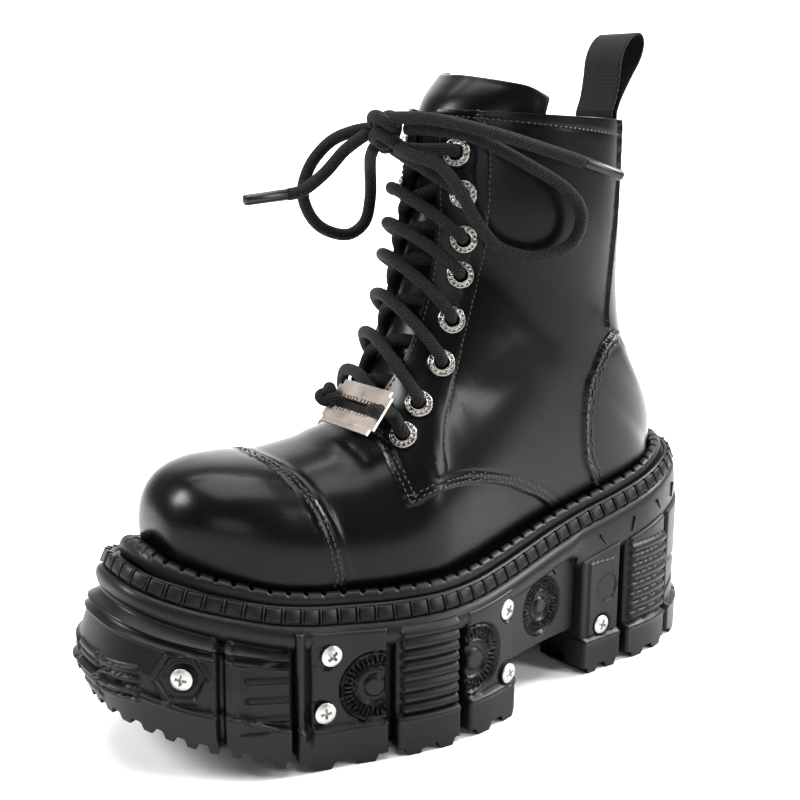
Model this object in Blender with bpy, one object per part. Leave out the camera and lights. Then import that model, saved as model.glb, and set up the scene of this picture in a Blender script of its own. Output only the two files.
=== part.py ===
# Platform boot, the left one of a pair.
# Toe towards -Y, outer side towards +X, ground at z = 0. Metres.

import math

import bmesh
import bpy
import numpy as np
from mathutils import Vector

for old in list(bpy.data.objects):
    bpy.data.objects.remove(old, do_unlink=True)

# driving sizes
sole_length = 0.296
ball_width = 0.114
platform_height = 0.058
shaft_rise = 0.198
wall = 0.0024
step_up = 0.0010
gap = 0.00035
feather_inset = 0.0147
toe_inset_extra = 0.0062
heel_inset_extra = 0.0034
rim_band = 0.0063
seat_gap = 0.0005
lug_depth = 0.0050
arch_height = 0.0235
eyelet_radius = 0.0062
eyelet_bore = 0.0027
lace_diameter = 0.0053
screw_radius = 0.0044
throat_width = 0.0162
tongue_thick = 0.0026
insole_thick = 0.0030
loop_width = 0.0245
loop_height = 0.040
loop_lean = 0.38
ribbon = 0.0016

# outline of the rim: share of the length from the toe, shares of the ball width to each side
outline_rows = (
    # along, outer, inner
    (0.0000, -0.018, 0.018),
    (0.0095, 0.132, 0.167),
    (0.0473, 0.256, 0.294),
    (0.0878, 0.340, 0.360),
    (0.1318, 0.401, 0.402),
    (0.1926, 0.452, 0.430),
    (0.2500, 0.480, 0.441),
    (0.3209, 0.531, 0.439),
    (0.3851, 0.558, 0.421),
    (0.4527, 0.546, 0.390),
    (0.5203, 0.501, 0.355),
    (0.5878, 0.452, 0.333),
    (0.6554, 0.410, 0.329),
    (0.7230, 0.385, 0.342),
    (0.7905, 0.375, 0.351),
    (0.8547, 0.353, 0.340),
    (0.9088, 0.301, 0.303),
    (0.9595, 0.215, 0.219),
    (0.9899, 0.110, 0.110),
    (1.0000, 0.000, 0.000),
)

# side profile: share of the length, shares of the platform height
side_rows = (
    # along, rim, ground
    (0.000, 1.345, 0.430),
    (0.030, 1.270, 0.345),
    (0.068, 1.205, 0.255),
    (0.115, 1.140, 0.180),
    (0.155, 1.085, 0.085),
    (0.205, 1.040, 0.010),
    (0.240, 1.018, 0.000),
    (0.300, 1.000, 0.000),
    (0.380, 0.998, 0.000),
    (0.470, 1.018, 0.000),
    (0.560, 1.075, 0.000),
    (0.640, 1.148, 0.000),
    (0.720, 1.228, 0.000),
    (0.800, 1.312, 0.000),
    (0.900, 1.425, 0.000),
    (1.000, 1.515, 0.000),
)

arch_from = 0.535
arch_to = 0.692

# stations of the sole loops, shares of the length
stations = (
    0.0, 0.008, 0.028, 0.060, 0.105, 0.160, 0.220, 0.280, 0.340, 0.400, 0.460,
    0.505, 0.528, 0.545, 0.590, 0.640, 0.682, 0.700, 0.750, 0.800, 0.850, 0.895,
    0.935, 0.966, 0.990, 1.0,
)


def smooth(xs, ys, x):
    xs = np.asarray(xs, float)
    ys = np.asarray(ys, float)
    slopes = np.diff(ys) / np.diff(xs)
    tangents = np.empty(len(xs))
    tangents[0] = slopes[0]
    tangents[-1] = slopes[-1]
    left = np.diff(xs)[:-1]
    right = np.diff(xs)[1:]
    tangents[1:-1] = (slopes[:-1] * right + slopes[1:] * left) / (left + right)
    flat = slopes[:-1] * slopes[1:] <= 0.0
    tangents[1:-1][flat] = 0.0
    spot = int(np.clip(np.searchsorted(xs, x) - 1, 0, len(xs) - 2))
    width = xs[spot + 1] - xs[spot]
    u = (x - xs[spot]) / width
    first = (1 + 2 * u) * (1 - u) ** 2 * ys[spot] + u * (1 - u) ** 2 * width * tangents[spot]
    second = u * u * (3 - 2 * u) * ys[spot + 1] + u * u * (u - 1) * width * tangents[spot + 1]
    return float(first + second)


def column(rows, number):
    return [row[number] for row in rows]


def along(y):
    return min(1.0, max(0.0, y / sole_length + 0.5))


def rim_z(y):
    return platform_height * smooth(column(side_rows, 0), column(side_rows, 1), along(y))


def ground_z(y):
    return platform_height * max(0.0, smooth(column(side_rows, 0), column(side_rows, 2), along(y)))


def round_curve(points, count):
    # closed curve through the points, evenly spaced
    pts = np.asarray(points, float)
    total = len(pts)
    dense = []
    for k in range(total):
        a = pts[(k - 1) % total]
        b = pts[k]
        c = pts[(k + 1) % total]
        d = pts[(k + 2) % total]
        first = (c - a) * np.linalg.norm(c - b) / (np.linalg.norm(b - a) + np.linalg.norm(c - b))
        second = (d - b) * np.linalg.norm(c - b) / (np.linalg.norm(c - b) + np.linalg.norm(d - c))
        for u in np.linspace(0, 1, 16, endpoint=False):
            h = (2 * u ** 3 - 3 * u ** 2 + 1) * b + (u ** 3 - 2 * u ** 2 + u) * first
            dense.append(h + (3 * u ** 2 - 2 * u ** 3) * c + (u ** 3 - u ** 2) * second)
    dense = np.array(dense)
    steps = np.linalg.norm(np.roll(dense, -1, 0) - dense, axis=1)
    runs = np.concatenate([[0], np.cumsum(steps)])
    closed = np.vstack([dense, dense[:1]])
    wanted = np.linspace(0, runs[-1], count, endpoint=False)
    return np.stack([np.interp(wanted, runs, closed[:, 0]), np.interp(wanted, runs, closed[:, 1])], 1)


outer_points = [(row[1] * ball_width, (row[0] - 0.5) * sole_length) for row in outline_rows]
inner_points = [(-row[2] * ball_width, (row[0] - 0.5) * sole_length) for row in outline_rows]
rim_curve = round_curve(outer_points + inner_points[-2:0:-1], 480)
tangent = np.roll(rim_curve, -1, 0) - np.roll(rim_curve, 1, 0)
tangent /= np.linalg.norm(tangent, axis=1)[:, None]
rim_normal = np.stack([tangent[:, 1], -tangent[:, 0]], 1)


def sides(amount):
    # both sides of the rim moved outwards, as y and x lists
    if callable(amount):
        shift = np.array([amount(y) for y in rim_curve[:, 1]])[:, None]
    else:
        shift = amount
    moved = rim_curve + rim_normal * shift
    low = int(np.argmin(moved[:, 1]))
    high = int(np.argmax(moved[:, 1]))
    order = np.roll(moved, -low, 0)
    top = (high - low) % len(moved)
    outer = order[:top + 1]
    inner = np.vstack([order[top:], order[:1]])[::-1]
    return outer, inner


side_cache = {}


def sides_of(key, amount):
    if key not in side_cache:
        side_cache[key] = sides(amount)
    return side_cache[key]


def edge_x(curve, y):
    rising = np.maximum.accumulate(curve[:, 1])
    return float(np.interp(y, rising, curve[:, 0]))


def sole_loop(amount, height):
    # closed loop through the stations, toe first along the outer side, then back inside
    outer, inner = sides_of(amount, amount)
    low = outer[0, 1]
    high = outer[-1, 1]
    ys = [low + (high - low) * s for s in stations]
    first = [(edge_x(outer, y), y, height(y, s)) for y, s in zip(ys, stations)]
    second = [(edge_x(inner, y), y, height(y, s)) for y, s in zip(ys, stations)]
    return first + second[-2:0:-1]


def material(name, color, rough, metal):
    made = bpy.data.materials.new(name)
    made.use_nodes = True
    shader = made.node_tree.nodes["Principled BSDF"]
    shader.inputs["Base Color"].default_value = (*color, 1.0)
    shader.inputs["Roughness"].default_value = rough
    shader.inputs["Metallic"].default_value = metal
    return made


leather = material("black_leather", (0.012, 0.012, 0.013), 0.36, 0.0)
rubber = material("black_rubber", (0.022, 0.022, 0.024), 0.62, 0.0)
lining = material("black_lining", (0.03, 0.03, 0.032), 0.8, 0.0)
cord_black = material("lace_black", (0.015, 0.015, 0.016), 0.75, 0.0)
ribbon_black = material("ribbon_black", (0.02, 0.02, 0.021), 0.8, 0.0)
nickel = material("pale_nickel", (0.72, 0.70, 0.66), 0.32, 1.0)
antique = material("antique_silver", (0.45, 0.42, 0.38), 0.36, 1.0)
champagne = material("champagne_steel", (0.78, 0.70, 0.60), 0.3, 1.0)


def new_object(name, form, finish):
    bmesh.ops.remove_doubles(form, verts=form.verts, dist=0.00001)
    bmesh.ops.dissolve_degenerate(form, dist=0.00001, edges=form.edges)
    bmesh.ops.recalc_face_normals(form, faces=form.faces)
    mesh = bpy.data.meshes.new(name)
    form.to_mesh(mesh)
    form.free()
    made = bpy.data.objects.new(name, mesh)
    bpy.context.scene.collection.objects.link(made)
    made.data.materials.append(finish)
    return made


def add_rings(form, rings, caps):
    # joins equal loops one after the other
    made = [[form.verts.new(Vector(p)) for p in ring] for ring in rings]
    count = len(made[0])
    for low, high in zip(made[:-1], made[1:]):
        for k in range(count):
            form.faces.new((low[k], low[(k + 1) % count], high[(k + 1) % count], high[k]))
    if caps == "ladder":
        half = count // 2
        for ring, turn in ((made[0], True), (made[-1], False)):
            for k in range(half):
                quad = [ring[k], ring[k + 1], ring[(count - k - 1) % count], ring[(count - k) % count]]
                quad = list(dict.fromkeys(quad))
                form.faces.new(quad[::-1] if turn else quad)
    if caps == "ends":
        form.faces.new(made[0][::-1])
        form.faces.new(made[-1])
    if caps == "around":
        for k in range(count):
            low = made[-1]
            high = made[0]
            form.faces.new((low[k], low[(k + 1) % count], high[(k + 1) % count], high[k]))


def combine(target, tool, kind, solver="EXACT"):
    # one boolean on the target
    action = target.modifiers.new(kind.lower(), "BOOLEAN")
    action.operation = kind
    action.solver = solver
    action.object = tool
    tool.hide_render = True
    tool.display_type = "WIRE"


def settle(target):
    # writes the modifiers into the mesh
    graph = bpy.context.evaluated_depsgraph_get()
    done = bpy.data.meshes.new_from_object(target.evaluated_get(graph))
    target.modifiers.clear()
    target.data = done


def drop(tool):
    bpy.data.objects.remove(tool, do_unlink=True)


# outsole body: offset from the rim, part of the way from base to rim, extra height
tread_top = lug_depth


def base_z(y, s):
    if arch_from < s < arch_to:
        return arch_height
    return ground_z(y) + tread_top


body_levels = (
    # offset, share of height, extra
    (-0.0100, 0.0, 0.0),
    (-0.0050, 0.0, 0.0015),
    (-0.0042, 0.5, 0.0),
    (-0.0042, 1.0, -0.0115),
    (-0.0005, 1.0, -0.0085),
    (0.0008, 1.0, -0.0050),
    (0.0000, 1.0, -0.0008),
    (-0.0011, 1.0, 0.0),
    (-0.0011, 1.0, rim_band - 0.0010),
    (-0.0024, 1.0, rim_band),
)

form = bmesh.new()
loops = []
for offset, share, extra in body_levels:
    def height(y, s, share=share, extra=extra):
        return base_z(y, s) * (1 - share) + rim_z(y) * share + extra
    loops.append(sole_loop(offset, height))
add_rings(form, loops, "ladder")
outsole = new_object("outsole", form, rubber)

# flank blocks: from and to as shares of the length, top below the rim, low edge, foot depth
block_rows = (
    # from, to, top, lean, foot, ribs
    (0.088, 0.168, -0.0125, 0.0012, 0.020, 0),
    (0.192, 0.303, -0.0032, 0.0012, 0.024, 0),
    (0.318, 0.412, -0.0032, 0.0012, 0.024, 7),
    (0.428, 0.528, -0.0040, 0.0012, 0.024, 0),
    (0.700, 0.778, -0.0155, 0.0012, 0.022, 0),
    (0.796, 0.893, -0.0180, 0.0012, 0.022, 7),
)


def block_side(y, top, lean, foot, ribs, push):
    # profile of a block as offset and height
    low = ground_z(y)
    high = rim_z(y) + top
    base = low + tread_top
    edge = low + platform_height * 0.29
    face = [(-foot, low), (0.0018, low), (0.0034, low + 0.002), (0.0034, edge)]
    start = (0.0016 + lean, edge + 0.0022)
    end = (lean, high - 0.0016)
    if ribs:
        face.append(start)
        for k in range(ribs):
            for part, push in ((0.25, 0.0006), (0.75, 0.0006), (1.0, -0.0010)):
                t = (k + part) / ribs
                if k == ribs - 1 and part == 1.0:
                    push = 0.0
                face.append((start[0] * (1 - t) + end[0] * t + push - 0.0004, start[1] * (1 - t) + end[1] * t))
    else:
        face.append(start)
        face.append(end)
    face = face[:1] + [(offset + push * min(1.0, 0.35 + 0.65 * (z - low) / 0.02) * min(1.0, (high + 0.004 - z) / 0.02), z)
                       for offset, z in face[1:]]
    face += [(-0.0010, high), (-0.0062, high), (-0.0062, base + 0.0027), (-foot, base + 0.0027)]
    return face


def rim_at(spot, offset):
    low = int(math.floor(spot)) % len(rim_curve)
    high = (low + 1) % len(rim_curve)
    part = spot - math.floor(spot)
    place = rim_curve[low] * (1 - part) + rim_curve[high] * part
    way = rim_normal[low] * (1 - part) + rim_normal[high] * part
    return place + way / np.linalg.norm(way) * offset


def rim_spot(side, share):
    # curve number of a length share on one side
    y = (share - 0.5) * sole_length
    toe = int(np.argmin(rim_curve[:, 1]))
    heel = int(np.argmax(rim_curve[:, 1]))
    count = len(rim_curve)
    span = (heel - toe) % count
    if side > 0:
        numbers = [(toe + k) for k in range(span + 1)]
    else:
        numbers = [(toe - k) for k in range(count - span + 1)]
    ys = np.maximum.accumulate([rim_curve[n % count, 1] for n in numbers])
    return float(np.interp(y, ys, numbers))


toe_reach = 0.0075


def toe_push(spot):
    # the toe's lower flank stands further out than its rim
    share = along(rim_at(spot, 0.0)[1])
    return toe_reach * max(0.0, 1.0 - share / 0.19)


blocks = bmesh.new()


def add_block(spots, top, lean, foot, ribs, push):
    rings = []
    for spot in spots:
        y = rim_at(spot, 0.0)[1]
        ring = []
        for offset, z in block_side(y, top, lean, foot, ribs, push(spot)):
            x, yy = rim_at(spot, offset)
            ring.append((x, yy, z))
        rings.append(ring)
    add_rings(blocks, rings, "ends")


for side in (1, -1):
    for begin, finish, top, lean, foot, ribs in block_rows:
        first = rim_spot(side, begin)
        last = rim_spot(side, finish)
        add_block(np.linspace(first, last, 3), top, lean, foot, ribs, toe_push)

# front and back blocks cross the middle line
count = len(rim_curve)
front_a = rim_spot(-1, 0.068)
front_b = rim_spot(1, 0.068)
for begin, finish in ((0.0, 0.30), (0.34, 0.66), (0.70, 1.0)):
    spread = front_b - front_a
    spots = np.linspace(front_a + spread * begin, front_a + spread * finish, 3)
    add_block(spots, -0.0140, 0.0010, 0.016, 0, toe_push)
back_a = rim_spot(1, 0.912)
back_b = rim_spot(-1, 0.912) + count
while back_b - back_a > count:
    back_b -= count
while back_b < back_a:
    back_b += count
for begin, finish in ((0.0, 0.22), (0.26, 0.48), (0.52, 0.74), (0.78, 1.0)):
    spread = back_b - back_a
    spots = np.linspace(back_a + spread * begin, back_a + spread * finish, 3)
    add_block(spots, -0.0190, 0.0012, 0.018, 0, toe_push)

# middle lugs under the forefoot and the heel: share, half width, half length
lug_rows = (
    # along, outer, inner, half
    (0.245, 0.17, 0.19, 0.024),
    (0.315, 0.19, 0.19, 0.022),
    (0.385, 0.20, 0.17, 0.022),
    (0.455, 0.18, 0.14, 0.022),
    (0.738, 0.10, 0.10, 0.026),
    (0.820, 0.10, 0.10, 0.026),
)
for share, right, left, half in lug_rows:
    mid = (share - 0.5) * sole_length
    reach = half * sole_length
    low = []
    for x, y in ((-left * ball_width, mid - reach), (right * ball_width, mid - reach),
                 (right * ball_width, mid + reach), (-left * ball_width, mid + reach)):
        low.append((x, y))
    rings = [[(x, y, 0.0) for x, y in low], [(x, y, tread_top + 0.0026) for x, y in low]]
    add_rings(blocks, rings, "ends")

block_object = new_object("block_tool", blocks, rubber)
combine(outsole, block_object, "UNION")
outsole.modifiers[0].use_self = True
settle(outsole)
drop(block_object)


# upper: table of sections, each from a front point to a back point
upper_rows = (
    # sole share or back y, back z, front y, front z, k, outer, inner, n, m, middle
    (0.0642, 0, -0.4358, 0.000, 0.50, 0.000, 0.000, 2.0, 2.0, -0.014),
    (0.0730, 0, -0.4375, 0.184, 0.62, 0.122, 0.124, 2.3, 2.3, -0.014),
    (0.0900, 0, -0.4291, 0.240, 0.64, 0.189, 0.197, 2.4, 2.4, -0.014),
    (0.1160, 0, -0.4061, 0.279, 0.66, 0.255, 0.253, 2.4, 2.4, -0.012),
    (0.1490, 0, -0.3689, 0.298, 0.68, 0.312, 0.297, 2.4, 2.4, -0.010),
    (0.1860, 0, -0.3230, 0.301, 0.70, 0.352, 0.322, 2.35, 2.3, -0.008),
    (0.2270, 0, -0.2777, 0.297, 0.72, 0.375, 0.336, 2.3, 2.2, -0.006),
    (0.2700, 0, -0.2230, 0.306, 0.73, 0.397, 0.339, 2.2, 2.1, -0.004),
    (0.3180, 0, -0.1784, 0.322, 0.74, 0.430, 0.338, 2.1, 2.0, -0.002),
    (0.3650, 0, -0.1405, 0.344, 0.74, 0.453, 0.328, 2.05, 2.0, 0.000),
    (0.4190, 0, -0.1054, 0.404, 0.74, 0.466, 0.310, 2.0, 2.0, 0.000),
    (0.4760, 0, -0.0855, 0.460, 0.73, 0.436, 0.290, 2.0, 2.0, 0.000),
    (0.5370, 0, -0.0693, 0.510, 0.71, 0.396, 0.276, 2.0, 2.0, 0.000),
    (0.6010, 0, -0.0568, 0.558, 0.67, 0.360, 0.272, 2.0, 2.0, 0.000),
    (0.6690, 0, -0.0486, 0.601, 0.63, 0.338, 0.280, 2.0, 2.0, 0.000),
    (0.7360, 0, -0.0432, 0.639, 0.60, 0.326, 0.290, 2.0, 2.0, 0.000),
    (0.8000, 0, -0.0402, 0.672, 0.57, 0.318, 0.300, 2.0, 2.0, 0.000),
    (0.8570, 0, -0.0378, 0.699, 0.55, 0.316, 0.304, 2.0, 2.05, 0.000),
    (0.9030, 0, -0.0358, 0.722, 0.54, 0.315, 0.306, 2.0, 2.05, 0.000),
    (0.9355, 0, -0.0331, 0.742, 0.53, 0.316, 0.308, 2.0, 2.05, 0.000),
    (0.9380, 0.227, -0.0297, 0.763, 0.53, 0.318, 0.310, 2.0, 2.05, 0.000),
    (0.9220, 0.285, -0.0250, 0.786, 0.52, 0.320, 0.312, 2.0, 2.05, 0.000),
    (0.8905, 0.360, -0.0196, 0.814, 0.52, 0.324, 0.316, 2.0, 2.05, 0.000),
    (0.8570, 0.447, -0.0159, 0.848, 0.51, 0.330, 0.322, 2.0, 2.1, 0.000),
    (0.8400, 0.566, -0.0122, 0.889, 0.51, 0.337, 0.330, 2.0, 2.1, 0.000),
    (0.8375, 0.717, -0.0078, 0.932, 0.50, 0.343, 0.336, 2.0, 2.1, 0.000),
    (0.8362, 0.859, -0.0034, 0.970, 0.50, 0.347, 0.340, 2.0, 2.1, 0.000),
    (0.8350, 0.975, 0.0000, 1.000, 0.50, 0.350, 0.342, 2.0, 2.1, 0.000),
    (0.8150, 1.030, 0.0118, 1.033, 0.50, 0.344, 0.336, 2.0, 2.1, 0.000),
    (0.7900, 1.076, 0.0304, 1.063, 0.50, 0.332, 0.324, 2.0, 2.1, 0.000),
)
collar_row = 27
heel_row = 19
throat_row = 9
half_columns = 8
middle_columns = 2


def feather_amount(y):
    s = along(y)
    more = toe_inset_extra * max(0.0, 1.0 - s / 0.16) + heel_inset_extra * max(0.0, (s - 0.86) / 0.14)
    return -(feather_inset + more)


feather_outer, feather_inner = sides(feather_amount)


def seat_z(y):
    return rim_z(y) + rim_band + seat_gap


def section(number):
    # named values of one section
    row = upper_rows[number]
    middle = row[9] * ball_width
    front = (row[2] * sole_length, platform_height + row[3] * shaft_rise)
    y = (row[0] - 0.5) * sole_length
    if row[1] == 0:
        low = feather_outer[0, 1] + 0.0002
        high = feather_outer[-1, 1] - 0.0002
        y = min(max(y, low), high)
        back = (y, seat_z(y))
        right = edge_x(feather_outer, y) - middle
        left = middle - edge_x(feather_inner, y)
    else:
        back = (y, platform_height + row[1] * shaft_rise)
        right = 0.0
        left = 0.0
    if number == 0:
        front = back
        right = 0.0
        left = 0.0
    if number == heel_row:
        back = (feather_outer[-1, 1], seat_z(feather_outer[-1, 1]))
        right = 0.0
        left = 0.0
    return front, back, row[4], row[5] * ball_width, row[6] * ball_width, row[7], row[8], right, left, middle


def half_curve(number, side):
    # dense points of one half of a section, front to back
    front, back, k, outer, inner, n, m, right, left, middle = section(number)
    width = outer if side > 0 else inner
    foot = right if side > 0 else left
    points = []
    for a in np.linspace(0, 1, 41):
        angle = a * math.pi / 2
        s = k * (1 - math.cos(angle) ** (2 / n))
        x = width * math.sin(angle) ** (2 / n)
        points.append((s, x))
    for a in np.linspace(0, 1, 41)[1:]:
        angle = a * math.pi / 2
        s = k + (1 - k) * math.sin(angle) ** (2 / m)
        x = foot + (width - foot) * math.cos(angle) ** (2 / m)
        points.append((s, x))
    made = []
    for s, x in points:
        made.append((middle + side * x, front[0] * (1 - s) + back[0] * s, front[1] * (1 - s) + back[1] * s))
    return np.array(made)


# half width of the throat along the leather, from its low end to the collar
throat_rows = (
    (0.00, 0.50),
    (0.10, 0.95),
    (0.25, 1.03),
    (0.60, 0.98),
    (0.85, 0.72),
    (1.00, 0.52),
    (1.20, 0.52),
)


def throat_half(number):
    share = (number - throat_row) / (collar_row - throat_row)
    share = min(1.2, max(0.0, share))
    return throat_width * smooth(column(throat_rows, 0), column(throat_rows, 1), share)


def half_points(number, side, pull):
    # grid points of one half: middle columns, then side columns
    dense = half_curve(number, side)
    runs = np.concatenate([[0], np.cumsum(np.linalg.norm(np.diff(dense, axis=0), axis=1))])
    total = runs[-1]
    edge = min(throat_half(number) + pull, total * 0.3)
    if number == 0:
        return [tuple(dense[0])] * (half_columns + middle_columns + 1)
    wanted = [edge * k / middle_columns for k in range(middle_columns + 1)]
    for k in range(1, half_columns + 1):
        wanted.append(edge + (total - edge) * (k / half_columns) ** 1.05)
    made = []
    for run in wanted:
        made.append(tuple(float(np.interp(run, runs, dense[:, axis])) for axis in range(3)))
    return made


side_count = half_columns + middle_columns


def upper_grid(pull):
    grid = []
    for number in range(len(upper_rows)):
        outer = half_points(number, 1, pull)
        inner = half_points(number, -1, pull)
        grid.append([Vector(p) for p in inner[:0:-1] + outer])
    return grid


def grid_normals(grid):
    # averaged normals, the two back edges share theirs
    rows = len(grid)
    columns = len(grid[0])
    normals = [[Vector((0, 0, 0)) for _ in range(columns)] for _ in range(rows)]
    for i in range(rows - 1):
        for j in range(columns - 1):
            a = grid[i][j]
            b = grid[i][j + 1]
            c = grid[i + 1][j + 1]
            d = grid[i + 1][j]
            way = (c - a).cross(d - b)
            for ii, jj in ((i, j), (i, j + 1), (i + 1, j), (i + 1, j + 1)):
                normals[ii][jj] += way
    pole = Vector((0, 0, 0))
    for j in range(columns):
        pole += normals[0][j]
    for j in range(columns):
        normals[0][j] = pole.copy()
    for i in range(heel_row, rows):
        both = normals[i][0] + normals[i][-1]
        normals[i][0] = both.copy()
        normals[i][-1] = both.copy()
    out = normals[5][side_count]
    turn = -1.0 if out.z < 0 else 1.0
    for row in normals:
        for item in row:
            item.normalize()
            item *= turn
    return normals


grid = upper_grid(0.0)
normals = grid_normals(grid)


def cut_ways(grid, normals):
    # the diagonal of each cell that stands out more, used by every sheet
    ways = {}
    for i in range(len(grid) - 1):
        for j in range(len(grid[0]) - 1):
            first = grid[i][j] + grid[i + 1][j + 1]
            second = grid[i][j + 1] + grid[i + 1][j]
            out = normals[i][j] + normals[i + 1][j + 1] + normals[i][j + 1] + normals[i + 1][j]
            ways[(i, j)] = (first - second).dot(out) > 0.0
    return ways


cell_ways = cut_ways(grid, normals)


def shell(name, finish, cells, grid, normals, high, low, keep_level):
    # a closed sheet between two offsets of the grid, over the given cells
    form = bmesh.new()
    table = {}

    def vert(i, j, layer):
        last = len(grid[0]) - 1
        if i == 0:
            j = 0
        if i >= heel_row and j == last:
            j = 0
        key = (i, j, layer)
        if key not in table:
            amount = high if layer else low
            place = grid[i][j] + normals[i][j] * amount
            if keep_level and i <= heel_row and j in (0, last):
                place.z = grid[i][j].z
            if keep_level and i == 0:
                place.z = grid[i][j].z
            table[key] = form.verts.new(place)
        return table[key]

    edges = {}
    for i, j in cells:
        corners = [(i, j), (i, j + 1), (i + 1, j + 1), (i + 1, j)]
        turned = corners if cell_ways[(i, j)] else corners[1:] + corners[:1]
        for part in ((turned[0], turned[1], turned[2]), (turned[0], turned[2], turned[3])):
            top = list(dict.fromkeys(vert(a, b, 1) for a, b in part))
            if len(top) < 3:
                continue
            form.faces.new(top)
            form.faces.new([vert(a, b, 0) for a, b in part][::-1])
        names = []
        for a, b in corners:
            last = len(grid[0]) - 1
            if a == 0:
                b = 0
            if a >= heel_row and b == last:
                b = 0
            if (a, b) not in names:
                names.append((a, b))
        for k in range(len(names)):
            one = names[k]
            two = names[(k + 1) % len(names)]
            if (two, one) in edges:
                del edges[(two, one)]
            else:
                edges[(one, two)] = True
    for one, two in edges:
        form.faces.new((vert(*two, 1), vert(*one, 1), vert(*one, 0), vert(*two, 0)))
    return new_object(name, form, finish)


all_columns = range(2 * side_count)
middle_low = side_count - middle_columns
middle_high = side_count + middle_columns
upper_cells = []
for i in range(collar_row):
    for j in all_columns:
        if i >= throat_row and middle_low <= j < middle_high:
            continue
        upper_cells.append((i, j))
upper = shell("upper", leather, upper_cells, grid, normals, 0.0, -wall, True)

# raised toe cap, quarters and counter: side regions as shares of length and rise
region_rows = {
    "toe_cap": ((-0.60, -0.30), (-0.60, 0.60), (-0.287, 0.60), (-0.284, 0.297), (-0.270, 0.262),
                (-0.256, 0.232), (-0.248, 0.187), (-0.242, 0.130), (-0.232, -0.30)),
    "quarter": ((-0.128, 0.353), (-0.128, 0.262), (-0.122, 0.217), (-0.112, 0.182), (-0.064, 0.210),
                (-0.010, 0.217), (0.047, 0.202), (0.095, 0.172), (0.128, 0.136), (0.152, 0.08),
                (0.152, -0.30), (0.236, -0.30), (0.236, 0.10), (0.228, 0.262), (0.233, 0.370),
                (0.248, 0.452), (0.272, 0.505), (0.330, 0.545), (0.60, 0.56), (0.60, 1.30),
                (-0.40, 1.30), (-0.40, 0.60), (-0.150, 0.400)),
    "counter": ((0.253, -0.30), (0.250, 0.10), (0.241, 0.262), (0.246, 0.362), (0.258, 0.432),
                (0.280, 0.482), (0.330, 0.520), (0.60, 0.535), (0.60, -0.30)),
}
tool_form = bmesh.new()
for name in region_rows:
    flat = [(a * sole_length, platform_height + b * shaft_rise) for a, b in region_rows[name]]
    rings = [[(x, y, z) for y, z in flat] for x in (-ball_width, ball_width)]
    add_rings(tool_form, rings, "ends")
region_tool = new_object("region_tool", tool_form, leather)

raised_grid = [[p.copy() for p in row] for row in grid]
for i in range(len(raised_grid)):
    for j in range(len(raised_grid[0])):
        if i >= throat_row and j == middle_low:
            raised_grid[i][j] = grid[i][j].lerp(grid[i][j - 1], 0.09)
        if i >= throat_row and j == middle_high:
            raised_grid[i][j] = grid[i][j].lerp(grid[i][j + 1], 0.09)
        if i == collar_row:
            raised_grid[i][j] = raised_grid[i][j].lerp(grid[i - 1][j], 0.12)
        if i <= heel_row and j in (0, 2 * side_count):
            raised_grid[i][j].z += 0.0006
raised_cells = [(i, j) for i, j in upper_cells]
raised = shell("raised_tool", leather, raised_cells, raised_grid, normals, step_up, -wall * 0.5, False)
# the exact solver leaves open edges on these thin sheets
combine(raised, region_tool, "INTERSECT", "MANIFOLD")
settle(raised)
combine(upper, raised, "UNION", "MANIFOLD")
settle(upper)
drop(raised)
drop(region_tool)


def surface(row, run, side, lift):
    # point and normal of the grid surface at a row and a distance from the middle line
    low = int(math.floor(row))
    high = min(low + 1, len(upper_rows) - 1)
    part = row - low
    spots = []
    for number in (low, high):
        line = [grid[number][side_count + side * k] for k in range(side_count + 1)]
        turns = [normals[number][side_count + side * k] for k in range(side_count + 1)]
        runs = [0.0]
        for a, b in zip(line[:-1], line[1:]):
            runs.append(runs[-1] + (b - a).length)
        place = Vector([float(np.interp(run, runs, [p[axis] for p in line])) for axis in range(3)])
        turn = Vector([float(np.interp(run, runs, [p[axis] for p in turns])) for axis in range(3)])
        spots.append((place, turn))
    place = spots[0][0].lerp(spots[1][0], part)
    turn = spots[0][1].lerp(spots[1][1], part).normalized()
    return place + turn * lift, turn


# eyelets: row of the surface and share of the throat width, top one first
eyelet_rows = (24.85, 23.3, 20.8, 17.8, 14.85, 12.9, 10.95, 9.8)
eyelet_shares = (1.265, 1.574, 1.760, 1.883, 1.944, 2.100, 2.100, 2.200)
eyelets = {}
holes = bmesh.new()


def frame_of(turn):
    up = Vector((0, 0, 1))
    across = up.cross(turn).normalized()
    return across, turn.cross(across).normalized()


def turned_ring(place, turn, radius, rise, sides_count):
    across, upward = frame_of(turn)
    ring = []
    for k in range(sides_count):
        angle = 2 * math.pi * (k + 0.5) / sides_count
        ring.append(place + across * (radius * math.cos(angle)) + upward * (radius * math.sin(angle)) + turn * rise)
    return ring


for side, word in ((1, "l"), (-1, "m")):
    for number, row in enumerate(eyelet_rows):
        run = throat_width * eyelet_shares[number]
        place, turn = surface(row, run, side, step_up)
        eyelets[(side, number)] = (place, turn)
        outer_barrel = eyelet_bore + 0.0013
        profile = ((eyelet_bore, -0.0030), (outer_barrel, -0.0034), (outer_barrel, 0.0012),
                   (eyelet_radius, 0.0010), (eyelet_bore + 0.0014, 0.0023))
        form = bmesh.new()
        rings = [turned_ring(place, turn, radius, rise, 9) for radius, rise in profile]
        add_rings(form, rings, "around")
        new_object("eyelet_%s_%d" % (word, number + 1), form, antique)
        rings = [turned_ring(place, turn, outer_barrel + 0.0005, rise, 9) for rise in (-0.0075, 0.004)]
        add_rings(holes, rings, "ends")

hole_tool = new_object("hole_tool", holes, leather)
combine(upper, hole_tool, "DIFFERENCE", "MANIFOLD")
settle(upper)
drop(hole_tool)

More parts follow.
